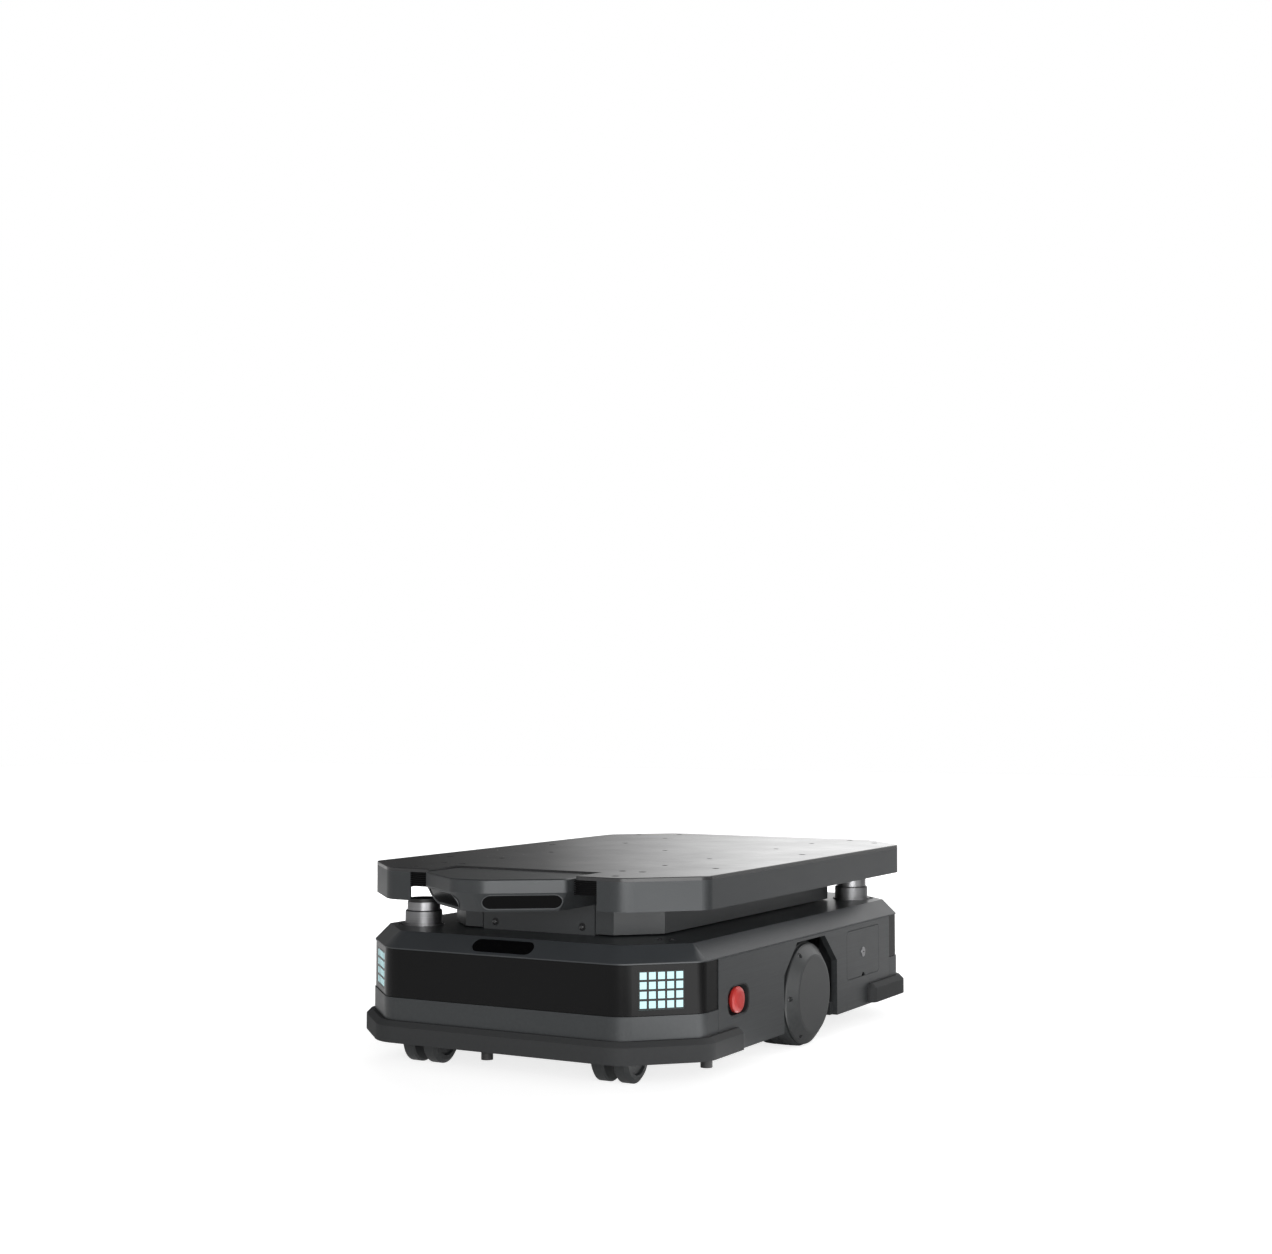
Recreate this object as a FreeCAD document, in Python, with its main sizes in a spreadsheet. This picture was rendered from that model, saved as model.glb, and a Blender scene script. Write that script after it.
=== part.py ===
import FreeCAD, Part
import math
import os

import Sketcher
from FreeCAD import Placement, Rotation, Vector

# Autonomous mobile robot with a lifting load platform.
# Millimetres. X to the right seen from the front, the front faces -Y, +Z up.
# The origin lies on the floor, midway between the two drive wheels.

doc = FreeCAD.newDocument("mobile_robot")
sheet = doc.addObject("Spreadsheet::Sheet", "Sizes")

SIZES = {
    # octagonal body
    "body_half_width": 313,
    "body_half_length": 500,
    "corner_cut": 96,
    "side_round": 28,
    "end_round": 50,
    "body_low": 38,
    "shoulder_low": 191,
    "deck_level": 216,
    "cover_lip": 2,
    "cover_wall": 4,
    "panel_wall": 3,
    "panel_gap": 0.6,
    "apron_high": 111,
    "band_front_reach": 144,
    "band_rear_reach": 138,
    "band_inset": 1.5,
    "band_wall": 4,
    # rubber bumpers
    "bumper_low": 41,
    "bumper_high": 75,
    "bumper_depth": 14,
    "bumper_bevel": 8,
    "bumper_front_reach": 215,
    "bumper_rear_reach": 246,
    "bumper_end_round": 12,
    # wheel arch in the side panel
    "arch_half_width": 112,
    "arch_half_top": 58,
    "arch_knee": 134,
    "arch_top": 183,
    "arch_flange": 8,
    "arch_flange_wall": 2,
    "arch_lug_low": 38,
    "arch_lug_high": 60,
    "arch_lug_depth": 18,
    # access door in the side panel
    "door_front": 157,
    "door_rear": 310,
    "door_low": 92,
    "door_high": 179,
    "door_round": 8,
    "door_gap": 0.8,
    "door_pivot_drop": 10,
    "door_pin_radius": 1,
    "door_pin_reach": 4,
    "pin_clearance": 0.06,
    "door_notch_radius": 7,
    "lock_radius": 7,
    "lock_head_radius": 9,
    "lock_tail": 14,
    "bay_margin": 6,
    "bay_depth": 48,
    "bay_wall": 2,
    # emergency stop
    "estop_inset": 215,
    "estop_height": 117,
    "estop_pocket_long": 79,
    "estop_pocket_high": 50,
    "estop_pocket_round": 20,
    "estop_pocket_depth": 26,
    "estop_wall": 2,
    "estop_head_radius": 21,
    "estop_head_thick": 14.5,
    "estop_stem_radius": 8,
    "estop_stem_length": 30,
    "estop_proud": 5,
    "free_gap": 0.4,
    # chassis
    "beam_inner": 190,
    "beam_wall": 10,
    "beam_high": 176,
    "beam_end_gap": 79,
    "tray_level": 88,
    "tray_thick": 8,
    "tray_side_gap": 17,
    "tray_end_gap": 16,
    "tray_cut_less": 4,
    "floor_thick": 4,
    "floor_tongue": 95,
    # load platform
    "plate_half_width": 317,
    "plate_front": 494,
    "plate_rear": 503,
    "plate_cut": 99,
    "plate_level": 320,
    "plate_thick": 6,
    "skirt_low": 268,
    "skirt_wall": 3,
    "skirt_tab": 43.5,
    "notch_half_width": 138,
    "notch_rear": 416,
    "hole_radius": 5,
    "hole_half_pitch": 160,
    "hole_center": 52,
    "hole_inner_span": 272,
    "hole_outer_span": 597,
    "screw_radius": 3,
    "screw_head_radius": 6,
    # platform underframe and its two lift columns, on one diagonal
    "frame_half_width": 201,
    "frame_front": 383,
    "frame_rear": 391,
    "frame_cut": 60,
    "frame_wall": 5,
    "frame_float": 2.5,
    "column_x": 230,
    "column_y": 378,
    "column_radius": 31,
    "column_top": 240.5,
    "column_foot_radius": 34.5,
    "column_foot_height": 2.5,
    "ram_radius": 27.7,
    "ram_clearance": 0.08,
    "ram_low": 130,
    "ram_top": 254,
    "bracket_thick": 6,
    "bracket_half_width": 20,
    "rib_middle": 0.5,
    "rib_rear": 208,
    # fixed camera pod and its pedestal
    "pedestal_half_width": 106,
    "pedestal_depth": 50,
    "pedestal_top": 306,
    "pod_gap": 2,
    "pod_nose": 591,
    "pod_nose_half": 25.4,
    "pod_half_width": 132,
    "pod_facet_angle": 36.3,
    "pod_low": 266.4,
    "pod_knee": 296,
    "pod_level": 317,
    "pod_step": 310,
    "pod_chin_inset": 18,
    "pod_nose_round": 45,
    "pod_side_round": 12,
    "pod_edge_round": 2.5,
    "window_half_length": 61,
    "window_half_height": 12.5,
    "window_thick": 3,
    "window_recess": 1.2,
    "camera_depth": 18,
    "grille_low": 291,
    "grille_depth": 8,
    # drive wheels on sprung arms
    "axle_height": 90,
    "tyre_radius": 90,
    "tyre_bore": 70,
    "tyre_inner": 232,
    "tyre_outer": 300,
    "cover_rim_radius": 86,
    "cover_face_radius": 66,
    "cover_rim_x": 304,
    "cover_face_x": 319,
    "axle_radius": 10,
    "hub_lip": 14,
    "arm_inner": 204,
    "arm_thick": 18,
    "arm_length": 125,
    "arm_tail": 45,
    "pivot_radius": 8,
    "spring_radius": 8,
    "spring_wire": 2,
    "spring_turns": 5,
    "spring_top": 150,
    # swivelling twin-wheel casters
    "caster_x": 178,
    "caster_inset": 99,
    "caster_trail": 28,
    "caster_radius": 37.5,
    "caster_tread": 25,
    "caster_width": 67,
    "caster_web": 14,
    "caster_axle": 6,
    "caster_stem": 8,
    "caster_head_radius": 24,
    "caster_plate": 4,
    "caster_plate_half": 38,
    # shoulder window
    "slot_half_length": 56.5,
    "slot_half_height": 12.5,
    # corner signal lights
    "light_columns": 5,
    "light_rows": 4,
    "light_pitch": 14.5,
    "light_square": 11,
    "light_margin": 2,
    "light_thick": 3,
    "light_back": 2,
    "light_recess": 0.4,
    "light_center_height": 150,
    # inner equipment
    "battery_half_width": 150,
    "battery_front": 150,
    "battery_rear": 220,
    "battery_high": 168,
    "battery_round": 12,
    "control_gap": 17,
    "control_rear": 165,
    "control_high": 150,
    "control_fins": 14,
    "control_fin_depth": 14,
    "scanner_radius": 45,
    "scanner_high": 84,
    "scanner_waist_low": 44,
    "scanner_waist_high": 58,
    "scanner_flare": 8,
    "scanner_bevel": 4,
    "scanner_inset": 75,
    "cliff_radius": 9.5,
    "cliff_low": 22,
    "cliff_middle_x": 39,
    "cliff_middle_inset": 28,
    "cliff_corner_side": 18,
    "cliff_corner_inset": 138,
    "contact_half_width": 55,
    "contact_half_height": 12,
    # small platform and pod details
    "plate_bevel": 1,
    "rib_height": 40,
    "screw_head_depth": 2.5,
    "screw_side_x": 260,
    "screw_side_front": -259,
    "screw_side_middle": 82,
    "screw_side_rear": 423,
    "screw_front_x": 190,
    "screw_inner_x": 153.5,
    "screw_front_y": -463,
    "screw_mid_y": -377,
    "screw_rear_y": 469,
    "grille_ribs": 7,
    "pod_neck": 100,
    "pedestal_screw_x": 83,
    "pedestal_screw_z": 228.5,
    "cover_screw_ring": 79,
    "cover_screw_radius": 4,
}


for row, (alias, number) in enumerate(SIZES.items(), start=1):
    sheet.set("A%d" % row, alias.replace("_", " "))
    sheet.set("B%d" % row, str(number))
    sheet.setAlias("B%d" % row, alias)
doc.recompute()


class Size:
    """A length that carries its number and the spreadsheet formula it comes from."""

    def __init__(self, number, formula):
        self.number = float(number)
        self.formula = formula

    def __float__(self):
        return self.number

    def joined(self, other, sign, number):
        formula = other.formula if isinstance(other, Size) else repr(float(other))
        return Size(number, "(%s %s %s)" % (self.formula, sign, formula))

    def __add__(self, other):
        return self.joined(other, "+", self.number + float(other))

    def __sub__(self, other):
        return self.joined(other, "-", self.number - float(other))

    def __mul__(self, other):
        return self.joined(other, "*", self.number * float(other))

    def __truediv__(self, other):
        return self.joined(other, "/", self.number / float(other))

    def __neg__(self):
        return self * -1

    __radd__ = __add__
    __rmul__ = __mul__

    def __rsub__(self, other):
        return (-self) + other


def tangent(angle):
    """Tangent of an angle given in degrees."""
    return Size(math.tan(math.radians(float(angle))), "tan(%s * 1deg)" % angle.formula)


class S:
    """The sheet's sizes by name."""


for alias in SIZES:
    setattr(S, alias, Size(getattr(sheet, alias), "Sizes." + alias))

# Places that follow the body, the casters, the frame beams or the load plate.
S.band_front_end = S.body_half_length - S.band_front_reach
S.band_rear_end = S.body_half_length - S.band_rear_reach
S.bumper_front_end = S.body_half_length - S.bumper_front_reach
S.bumper_rear_end = S.body_half_length - S.bumper_rear_reach
S.estop_place = S.body_half_length - S.estop_inset
S.tray_half_width = S.body_half_width - S.tray_side_gap
S.tray_half_length = S.body_half_length - S.tray_end_gap
S.tray_cut = S.corner_cut - S.tray_cut_less
S.caster_y = S.body_half_length - S.caster_inset
S.beam_half_length = S.caster_y - S.beam_end_gap
S.control_front = S.beam_half_length - S.control_gap
S.scanner_place = S.body_half_length - S.scanner_inset
S.cliff_middle_y = S.body_half_length - S.cliff_middle_inset
S.cliff_corner_x = S.body_half_width - S.cliff_corner_side
S.cliff_corner_y = S.body_half_length - S.cliff_corner_inset
S.skirt_mouth = S.plate_half_width - S.plate_cut - S.skirt_tab

# An offset of an octagon's sides by one length shortens its corner cut by this share of it.
CUT_SHARE = 2 - math.sqrt(2)


def bind(item, path, value):
    """Ties a property to the sheet, or sets it where the value is a plain number."""
    if isinstance(value, Size):
        item.setExpression(path, value.formula)
    elif value:
        item.setExpression(path, repr(float(value)))


def place(item, x=0, y=0, z=0, rotation=None):
    """Turns an object, then ties the three coordinates of its place to the sheet."""
    item.Placement = Placement(Vector(float(x), float(y), float(z)), rotation or Rotation())
    for path, value in (("x", x), ("y", y), ("z", z)):
        bind(item, "Placement.Base." + path, value)
    return item


# ---------------------------------------------------------------- sketches

def fix_point(sketch, geometry, corner, x, y):
    """Holds one point of a sketch at x, y."""
    for kind, value, axis in (("DistanceX", x, -2), ("DistanceY", y, -1)):
        if not isinstance(value, Size) and value == 0:
            sketch.addConstraint(Sketcher.Constraint("PointOnObject", geometry, corner, axis))
            continue
        index = sketch.addConstraint(Sketcher.Constraint(kind, geometry, corner, float(value)))
        if isinstance(value, Size):
            sketch.setExpression("Constraints[%d]" % index, value.formula)


def add_polygon(sketch, points, radii=None):
    """A closed loop of straight lines through the points, its corners rounded where radii say."""
    first, count = sketch.GeometryCount, len(points)
    spots = [Vector(float(x), float(y), 0) for x, y in points]
    for i in range(count):
        sketch.addGeometry(Part.LineSegment(spots[i], spots[(i + 1) % count]), False)
    for i in range(count):
        following = first + (i + 1) % count
        sketch.addConstraint(Sketcher.Constraint("Coincident", first + i, 2, following, 1))
    for i, (x, y) in enumerate(points):
        corner, radius = first + i, radii and radii[i]
        if radius:
            arc = sketch.GeometryCount
            sketch.fillet(corner, 1, float(radius), True, True)
            index = sketch.addConstraint(Sketcher.Constraint("Radius", arc, float(radius)))
            sketch.setExpression("Constraints[%d]" % index, radius.formula)
            corner = arc + 1
        fix_point(sketch, corner, 1, x, y)


def add_circle(sketch, x, y, radius):
    """A circle at x, y."""
    circle = Part.Circle(Vector(float(x), float(y), 0), Vector(0, 0, 1), float(radius))
    geometry = sketch.addGeometry(circle, False)
    fix_point(sketch, geometry, 3, x, y)
    index = sketch.addConstraint(Sketcher.Constraint("Radius", geometry, float(radius)))
    if isinstance(radius, Size):
        sketch.setExpression("Constraints[%d]" % index, radius.formula)


def add_stadium(sketch, half_length, radius):
    """A slot with round ends, centred on the sketch's origin, long along its x."""
    reach, r = float(half_length) - float(radius), float(radius)
    up, quarter = Vector(0, 0, 1), math.pi / 2
    right = Part.Circle(Vector(reach, 0, 0), up, r)
    left = Part.Circle(Vector(-reach, 0, 0), up, r)
    a = sketch.addGeometry(Part.ArcOfCircle(right, -quarter, quarter), False)
    b = sketch.addGeometry(Part.LineSegment(Vector(reach, r, 0), Vector(-reach, r, 0)), False)
    c = sketch.addGeometry(Part.ArcOfCircle(left, quarter, 3 * quarter), False)
    d = sketch.addGeometry(Part.LineSegment(Vector(-reach, -r, 0), Vector(reach, -r, 0)), False)
    for one, other in ((a, b), (b, c), (c, d), (d, a)):
        sketch.addConstraint(Sketcher.Constraint("Tangent", one, 2, other, 1))
    fix_point(sketch, a, 3, half_length - radius, 0)
    fix_point(sketch, c, 3, radius - half_length, 0)
    for arc in (a, c):
        index = sketch.addConstraint(Sketcher.Constraint("Radius", arc, r))
        sketch.setExpression("Constraints[%d]" % index, radius.formula)


def rectangle(x_low, x_high, y_low, y_high):
    return [(x_low, y_low), (x_high, y_low), (x_high, y_high), (x_low, y_high)]


# ---------------------------------------------------------------- bodies and features

PLANES = {"xy": "XY_Plane", "xz": "XZ_Plane", "yz": "YZ_Plane"}


def new_body(name):
    body = doc.addObject("PartDesign::Body", name)
    body.Label = name
    return body


def new_sketch(body, plane, level=0):
    """A sketch on one of the body's own origin planes, moved along the plane's normal."""
    support = [f for f in body.Origin.OriginFeatures if f.Role == PLANES[plane]][0]
    sketch = body.newObject("Sketcher::SketchObject", body.Name + "_sketch")
    sketch.AttachmentSupport = [(support, "")]
    sketch.MapMode = "FlatFace"
    bind(sketch, "AttachmentOffset.Base.z", level)
    return sketch


def draw(body, plane, level, shapes):
    """A sketch that holds polygons (lists of points) and circles (x, y, radius)."""
    sketch = new_sketch(body, plane, level)
    for shape in shapes:
        if isinstance(shape, tuple):
            add_circle(sketch, *shape)
        else:
            add_polygon(sketch, shape)
    return sketch


def pad(body, sketch, length, reverse=False):
    feature = body.newObject("PartDesign::Pad", body.Name + "_pad")
    feature.Profile = sketch
    bind(feature, "Length", length)
    feature.Reversed = reverse
    doc.recompute()
    return feature


def pocket(body, sketch, length, reverse=False):
    """Cuts the sketch's outline out of the body and insists that something was cut."""
    before = body.Shape.Volume
    feature = body.newObject("PartDesign::Pocket", body.Name + "_pocket")
    feature.Profile = sketch
    bind(feature, "Length", length)
    feature.Reversed = reverse
    doc.recompute()
    if not body.Shape.Volume < before:
        raise RuntimeError("%s: the pocket cut nothing" % feature.Name)
    return feature


def revolve(body, sketch, axis):
    """Turns the sketch fully round its own horizontal or vertical axis."""
    feature = body.newObject("PartDesign::Revolution", body.Name + "_turned")
    feature.Profile = sketch
    feature.ReferenceAxis = (sketch, [axis])
    feature.Angle = 360
    doc.recompute()
    return feature


def dress(body, kind, edges, size):
    """A fillet or chamfer on named edges of the body's last feature."""
    if not edges:
        raise RuntimeError("%s: no edge found for its %s" % (body.Name, kind))
    base = body.Tip
    feature = body.newObject("PartDesign::" + kind, body.Name + "_" + kind.lower())
    feature.Base = (base, edges)
    bind(feature, "Radius" if kind == "Fillet" else "Size", size)
    doc.recompute()
    return feature


def edge_names(shape, wanted):
    """Names of the edges for which wanted(edge) holds."""
    return ["Edge%d" % i for i, edge in enumerate(shape.Edges, start=1) if wanted(edge)]


def upright_edges(shape, spots, axis=2):
    """Straight edges along one axis that stand on the given pairs of other coordinates."""
    others = [i for i in range(3) if i != axis]

    def wanted(edge):
        if not isinstance(edge.Curve, Part.Line) or len(edge.Vertexes) < 2:
            return False
        a, b = edge.Vertexes[0].Point, edge.Vertexes[-1].Point
        if any(abs(a[i] - b[i]) > 0.01 for i in others):
            return False
        return any(all(abs(a[i] - float(v)) < 0.01 for i, v in zip(others, spot)) for spot in spots)

    return edge_names(shape, wanted)


def rim_edges(shape, level, outer=True):
    """Edges at one height that bound the upright faces looking away from the centre."""
    chosen = []
    for face in shape.Faces:
        u0, u1, v0, v1 = face.ParameterRange
        normal = face.normalAt((u0 + u1) / 2, (v0 + v1) / 2)
        middle = face.CenterOfMass
        away = normal.x * middle.x + normal.y * middle.y
        if abs(normal.z) < 0.5 and (away > 0) == outer:
            chosen += face.Edges

    def wanted(edge):
        level_edge = all(abs(v.Point.z - float(level)) < 0.01 for v in edge.Vertexes)
        return level_edge and any(edge.isSame(other) for other in chosen)

    return edge_names(shape, wanted)


# ---------------------------------------------------------------- solids and booleans

def box(name, x_low, x_high, y_low, y_high, z_low, z_high):
    item = doc.addObject("Part::Box", name)
    bind(item, "Length", x_high - x_low)
    bind(item, "Width", y_high - y_low)
    bind(item, "Height", z_high - z_low)
    return place(item, x_low, y_low, z_low)


TURNS = {"x": Rotation(Vector(0, 1, 0), 90), "y": Rotation(Vector(1, 0, 0), -90), "z": Rotation()}


def cylinder(name, radius, length, x, y, z, axis="z"):
    """A cylinder that starts at x, y, z and runs along the axis."""
    item = doc.addObject("Part::Cylinder", name)
    bind(item, "Radius", radius)
    bind(item, "Height", length)
    return place(item, x, y, z, TURNS[axis])


def fuse(name, items):
    joined = doc.addObject("Part::MultiFuse", name)
    joined.Shapes = items
    joined.Refine = True
    joined.Label = name
    doc.recompute()
    return joined


def cut(name, base, tools):
    """The base less its tools."""
    tool = tools[0]
    if len(tools) > 1:
        tool = doc.addObject("Part::Compound", name + "_tools")
        tool.Links = tools
    result = doc.addObject("Part::Cut", name)
    result.Base = base
    result.Tool = tool
    result.Label = name
    doc.recompute()
    return result


def group(name, items):
    """Like pieces kept together as separate solids under one name."""
    result = doc.addObject("Part::Compound", name)
    result.Links = items
    result.Label = name
    return result


def mirrored(name, source, axis=(1, 0, 0)):
    """The source seen in the plane through the origin that is square to the axis."""
    result = doc.addObject("Part::Mirroring", name)
    result.Source = source
    result.Normal = Vector(*axis)
    result.Label = name
    return result


parts = []


def keep(item):
    """Adds a finished sub-part to those that are written."""
    parts.append(item)
    return item


# ---------------------------------------------------------------- octagonal body

def octagon(half_width, half_length, corner):
    """Corners of a rectangle whose four corners are cut off at 45 degrees."""
    w, l = half_width, half_length
    return [(w, corner - l), (w, l - corner), (w - corner, l), (corner - w, l),
            (-w, l - corner), (-w, corner - l), (corner - w, -l), (w - corner, -l)]


def round_corners(body, ends, sides, outset):
    """Rounds an octagon's upright corners: wide at the front and rear faces, tighter at the sides."""
    dress(body, "Fillet", upright_edges(body.Shape, ends), S.end_round + outset)
    dress(body, "Fillet", upright_edges(body.Shape, sides), S.side_round + outset)


def shouldered_block(name, inset, low, high, slope):
    """A rounded octagonal block whose top edge slopes inwards at 45 degrees."""
    body = new_body(name)
    points = octagon(S.body_half_width - inset, S.body_half_length - inset,
                     S.corner_cut - CUT_SHARE * inset)
    pad(body, draw(body, "xy", low, [points]), high - low)
    round_corners(body, points[2:4] + points[6:], points[:2] + points[4:6], -inset)
    dress(body, "Chamfer", rim_edges(body.Shape, high), slope)
    return body


shoulder_run = S.deck_level - S.shoulder_low
cover_low = S.shoulder_low - S.cover_lip


# The lift columns stand on one diagonal: front left and rear right.
LIFT_CORNERS = (("front_left", -1), ("rear_right", 1))


def make_deck_cover():
    """Lid of the body: flat deck, sloping shoulder, holes for the columns and the front window."""
    outer = shouldered_block("deck_cover_outer", 0, cover_low, S.deck_level, shoulder_run)
    inner = shouldered_block("deck_cover_inner", S.cover_wall, cover_low - 1,
                             S.deck_level - S.cover_wall, shoulder_run - CUT_SHARE * S.cover_wall)
    holes = [cylinder("column_hole_%s" % word, S.column_radius + S.free_gap,
                      S.deck_level, side * S.column_x, side * S.column_y, 1)
             for word, side in LIFT_CORNERS]
    opening = shoulder_slot("shoulder_opening", S.free_gap, S.cover_wall * 4, S.cover_wall * -2)
    return cut("deck_cover", outer, [inner] + holes + [opening])


def shoulder_slot(name, grow, depth, sink):
    """A slot-shaped block that stands square to the middle of the front shoulder."""
    body = new_body(name)
    sketch = new_sketch(body, "xy", sink)
    add_stadium(sketch, S.slot_half_length + grow, S.slot_half_height + grow)
    pad(body, sketch, depth)
    middle = S.body_half_length - shoulder_run / 2
    return place(body, 0, -middle, S.shoulder_low + shoulder_run / 2, Rotation(Vector(1, 0, 0), 45))


def make_shoulder_window():
    """Dark window strip let into the front shoulder."""
    return shoulder_slot("shoulder_window", 0, S.cover_wall, S.cover_wall * -1 - 0.5)


def wrap(name, outset, wall, end, low, high, side):
    """A band that runs round the front (side -1) or rear (side 1) of the body.

    outset is how far its face stands out from the body, end how far from the middle it stops.
    """
    def ring(offset):
        w, l = S.body_half_width + offset, S.body_half_length + offset
        c = S.corner_cut + CUT_SHARE * offset
        half = [(w, side * (l - c)), (w - c, side * l)]
        return half + [(-x, y) for x, y in reversed(half)], w

    outer, outer_width = ring(outset)
    inner, inner_width = ring(outset - wall)
    points = ([(outer_width, side * end)] + outer + [(-outer_width, side * end)]
              + [(-inner_width, side * end)] + inner[::-1] + [(inner_width, side * end)])
    body = new_body(name)
    pad(body, draw(body, "xy", low, [points]), high - low)
    round_corners(body, outer[1:3], outer[::3], outset)
    round_corners(body, inner[1:3], inner[::3], outset - wall)
    return body


def make_bumper(name, end, side):
    """Rubber contact bumper with a bevelled top edge and rounded ends."""
    body = wrap(name, S.bumper_depth, S.bumper_depth, end, S.bumper_low, S.bumper_high, side)
    edge = S.body_half_width + S.bumper_depth
    ends = upright_edges(body.Shape, [(edge, side * end), (-edge, side * end)])
    dress(body, "Fillet", ends, S.bumper_end_round)
    dress(body, "Chamfer", rim_edges(body.Shape, S.bumper_high), S.bumper_bevel)
    return body


def light_halves():
    """Half length and half height of a corner light's plate round its grid of lenses."""
    edge = S.light_square / 2 + S.light_margin
    return (S.light_columns - 1) * S.light_pitch / 2 + edge, (S.light_rows - 1) * S.light_pitch / 2 + edge


def light_block(name, side_x, side_y, grow, front, depth):
    """A block square to a corner face, as large as a light's plate; front is how deep it starts."""
    half_length, half_height = (half + grow for half in light_halves())
    body = new_body(name)
    outline = rectangle(-half_length, half_length, front, front + depth)
    pad(body, draw(body, "xy", 0, [outline]), half_height * 2)
    quarter = {(1, -1): 45, (1, 1): 135, (-1, 1): 225, (-1, -1): 315}[side_x, side_y]
    place(body, side_x * (S.body_half_width - S.corner_cut / 2),
          side_y * (S.body_half_length - S.corner_cut / 2), S.light_center_height - half_height,
          Rotation(Vector(0, 0, 1), quarter))
    return body


def repeat_grid(body, feature):
    """Repeats a feature in the columns and rows of the light's grid."""
    multi = body.newObject("PartDesign::MultiTransform", body.Name + "_grid")
    multi.Originals = [feature]
    steps = []
    for axis, span in (("X_Axis", S.light_columns), ("Z_Axis", S.light_rows)):
        pattern = body.newObject("PartDesign::LinearPattern", body.Name + "_" + axis)
        line = [f for f in body.Origin.OriginFeatures if f.Role == axis][0]
        pattern.Direction = (line, [""])
        bind(pattern, "Length", (span - 1) * S.light_pitch)
        pattern.Occurrences = int(float(span))
        steps.append(pattern)
    multi.Transformations = steps
    body.Tip = multi
    doc.recompute()


def make_light_plate(name, side_x, side_y):
    """Dark plate let into the band at one corner, with a grid of square holes."""
    body = light_block(name, side_x, side_y, 0, S.band_inset, S.light_thick)
    start, side = S.light_margin - light_halves()[0], S.light_square
    hole = rectangle(start, start + side, S.light_margin, S.light_margin + side)
    level = 1 - S.band_inset
    repeat_grid(body, pocket(body, draw(body, "xz", level, [hole]), S.light_thick + 2))
    return body


def make_light_lens(name, side_x, side_y):
    """Moulded lens behind the plate, with one square boss for each of its holes."""
    back = S.band_inset + S.light_thick
    body = light_block(name, side_x, side_y, 0, back, S.light_back)
    gap = S.pin_clearance
    start, side = S.light_margin - light_halves()[0] + gap, S.light_square - 2 * gap
    boss = rectangle(start, start + side, S.light_margin + gap, S.light_margin + gap + side)
    repeat_grid(body, pad(body, draw(body, "xz", -back, [boss]), S.light_thick - S.light_recess))
    return body


def at_corners(name, make_piece):
    """One piece for each corner face, kept together under one name."""
    return group(name, [make_piece("%s_%d%d" % (name, side_x + 1, side_y + 1), side_x, side_y)
                        for side_x in (-1, 1) for side_y in (-1, 1)])


def make_band(name, end, side):
    """Glossy dark band between lower panel and deck, with openings for the corner lights."""
    band = wrap(name + "_strip", -S.band_inset, S.band_wall, end, S.apron_high + S.panel_gap,
                cover_low - S.panel_gap, side)
    openings = [light_block("%s_opening_%d" % (name, side_x + 1), side_x, side, S.free_gap,
                            S.band_wall * -3, S.band_wall * 6) for side_x in (-1, 1)]
    return cut(name, band, openings)


def estop_outline(inset):
    """Outline of the emergency stop's oblong pocket in the side panel, moved in by inset."""
    long, high = S.estop_pocket_long / 2 - inset, S.estop_pocket_high / 2 - inset
    return rectangle(-S.estop_place - long, long - S.estop_place,
                     S.estop_height - high, S.estop_height + high)


def make_side_panel():
    """Right-hand side panel with wheel arch, door opening and emergency stop opening."""
    body = new_body("side_panel_sheet")
    front, rear = S.panel_gap - S.band_front_end, S.band_rear_end - S.panel_gap
    high = cover_low - S.panel_gap
    arch = [(-S.arch_half_width, S.body_low), (-S.arch_half_width, S.arch_knee),
            (-S.arch_half_top, S.arch_top), (S.arch_half_top, S.arch_top),
            (S.arch_half_width, S.arch_knee), (S.arch_half_width, S.body_low)]
    outline = ([(front, S.body_low)] + arch + [(rear, S.body_low), (rear, high), (front, high)])
    level = S.body_half_width - S.panel_wall
    pad(body, draw(body, "yz", level, [outline]), S.panel_wall)
    w = S.arch_flange_wall
    outer = [(-S.arch_half_width - w, S.body_low), (-S.arch_half_width - w, S.arch_knee + 0.44 * w),
             (-S.arch_half_top - 0.39 * w, S.arch_top + w), (S.arch_half_top + 0.39 * w, S.arch_top + w),
             (S.arch_half_width + w, S.arch_knee + 0.44 * w), (S.arch_half_width + w, S.body_low)]
    flange = draw(body, "yz", level - S.arch_flange, [outer + arch[::-1]])
    pad(body, flange, S.arch_flange + S.panel_wall)
    door = rectangle(S.door_front, S.door_rear, S.door_low, S.door_high)
    pocket(body, draw(body, "yz", level - 1, [door]), S.panel_wall + 2, True)
    lug = rectangle(S.arch_half_width - S.arch_lug_depth / 2, S.arch_half_width + w,
                    S.arch_lug_low, S.arch_lug_high)
    pad(body, draw(body, "yz", level - S.arch_flange - S.arch_lug_depth / 2, [lug]),
        S.arch_lug_depth / 2 + 1)
    stop = estop_outline(0)
    pocket(body, draw(body, "yz", level - 1, [stop]), S.panel_wall + 2, True)
    dress(body, "Fillet", upright_edges(body.Shape, door, 0), S.door_round)
    dress(body, "Fillet", upright_edges(body.Shape, stop, 0), S.estop_pocket_round)
    pin_z = S.door_high - S.door_pivot_drop
    reach = S.door_pin_reach + 1
    pins = cylinder("door_pin_bore", S.door_pin_radius + S.pin_clearance,
                    S.door_rear - S.door_front + 2 * reach,
                    S.body_half_width - S.panel_wall / 2, S.door_front - reach, pin_z, "y")
    return cut("side_panel_right", body, [pins])


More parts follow.
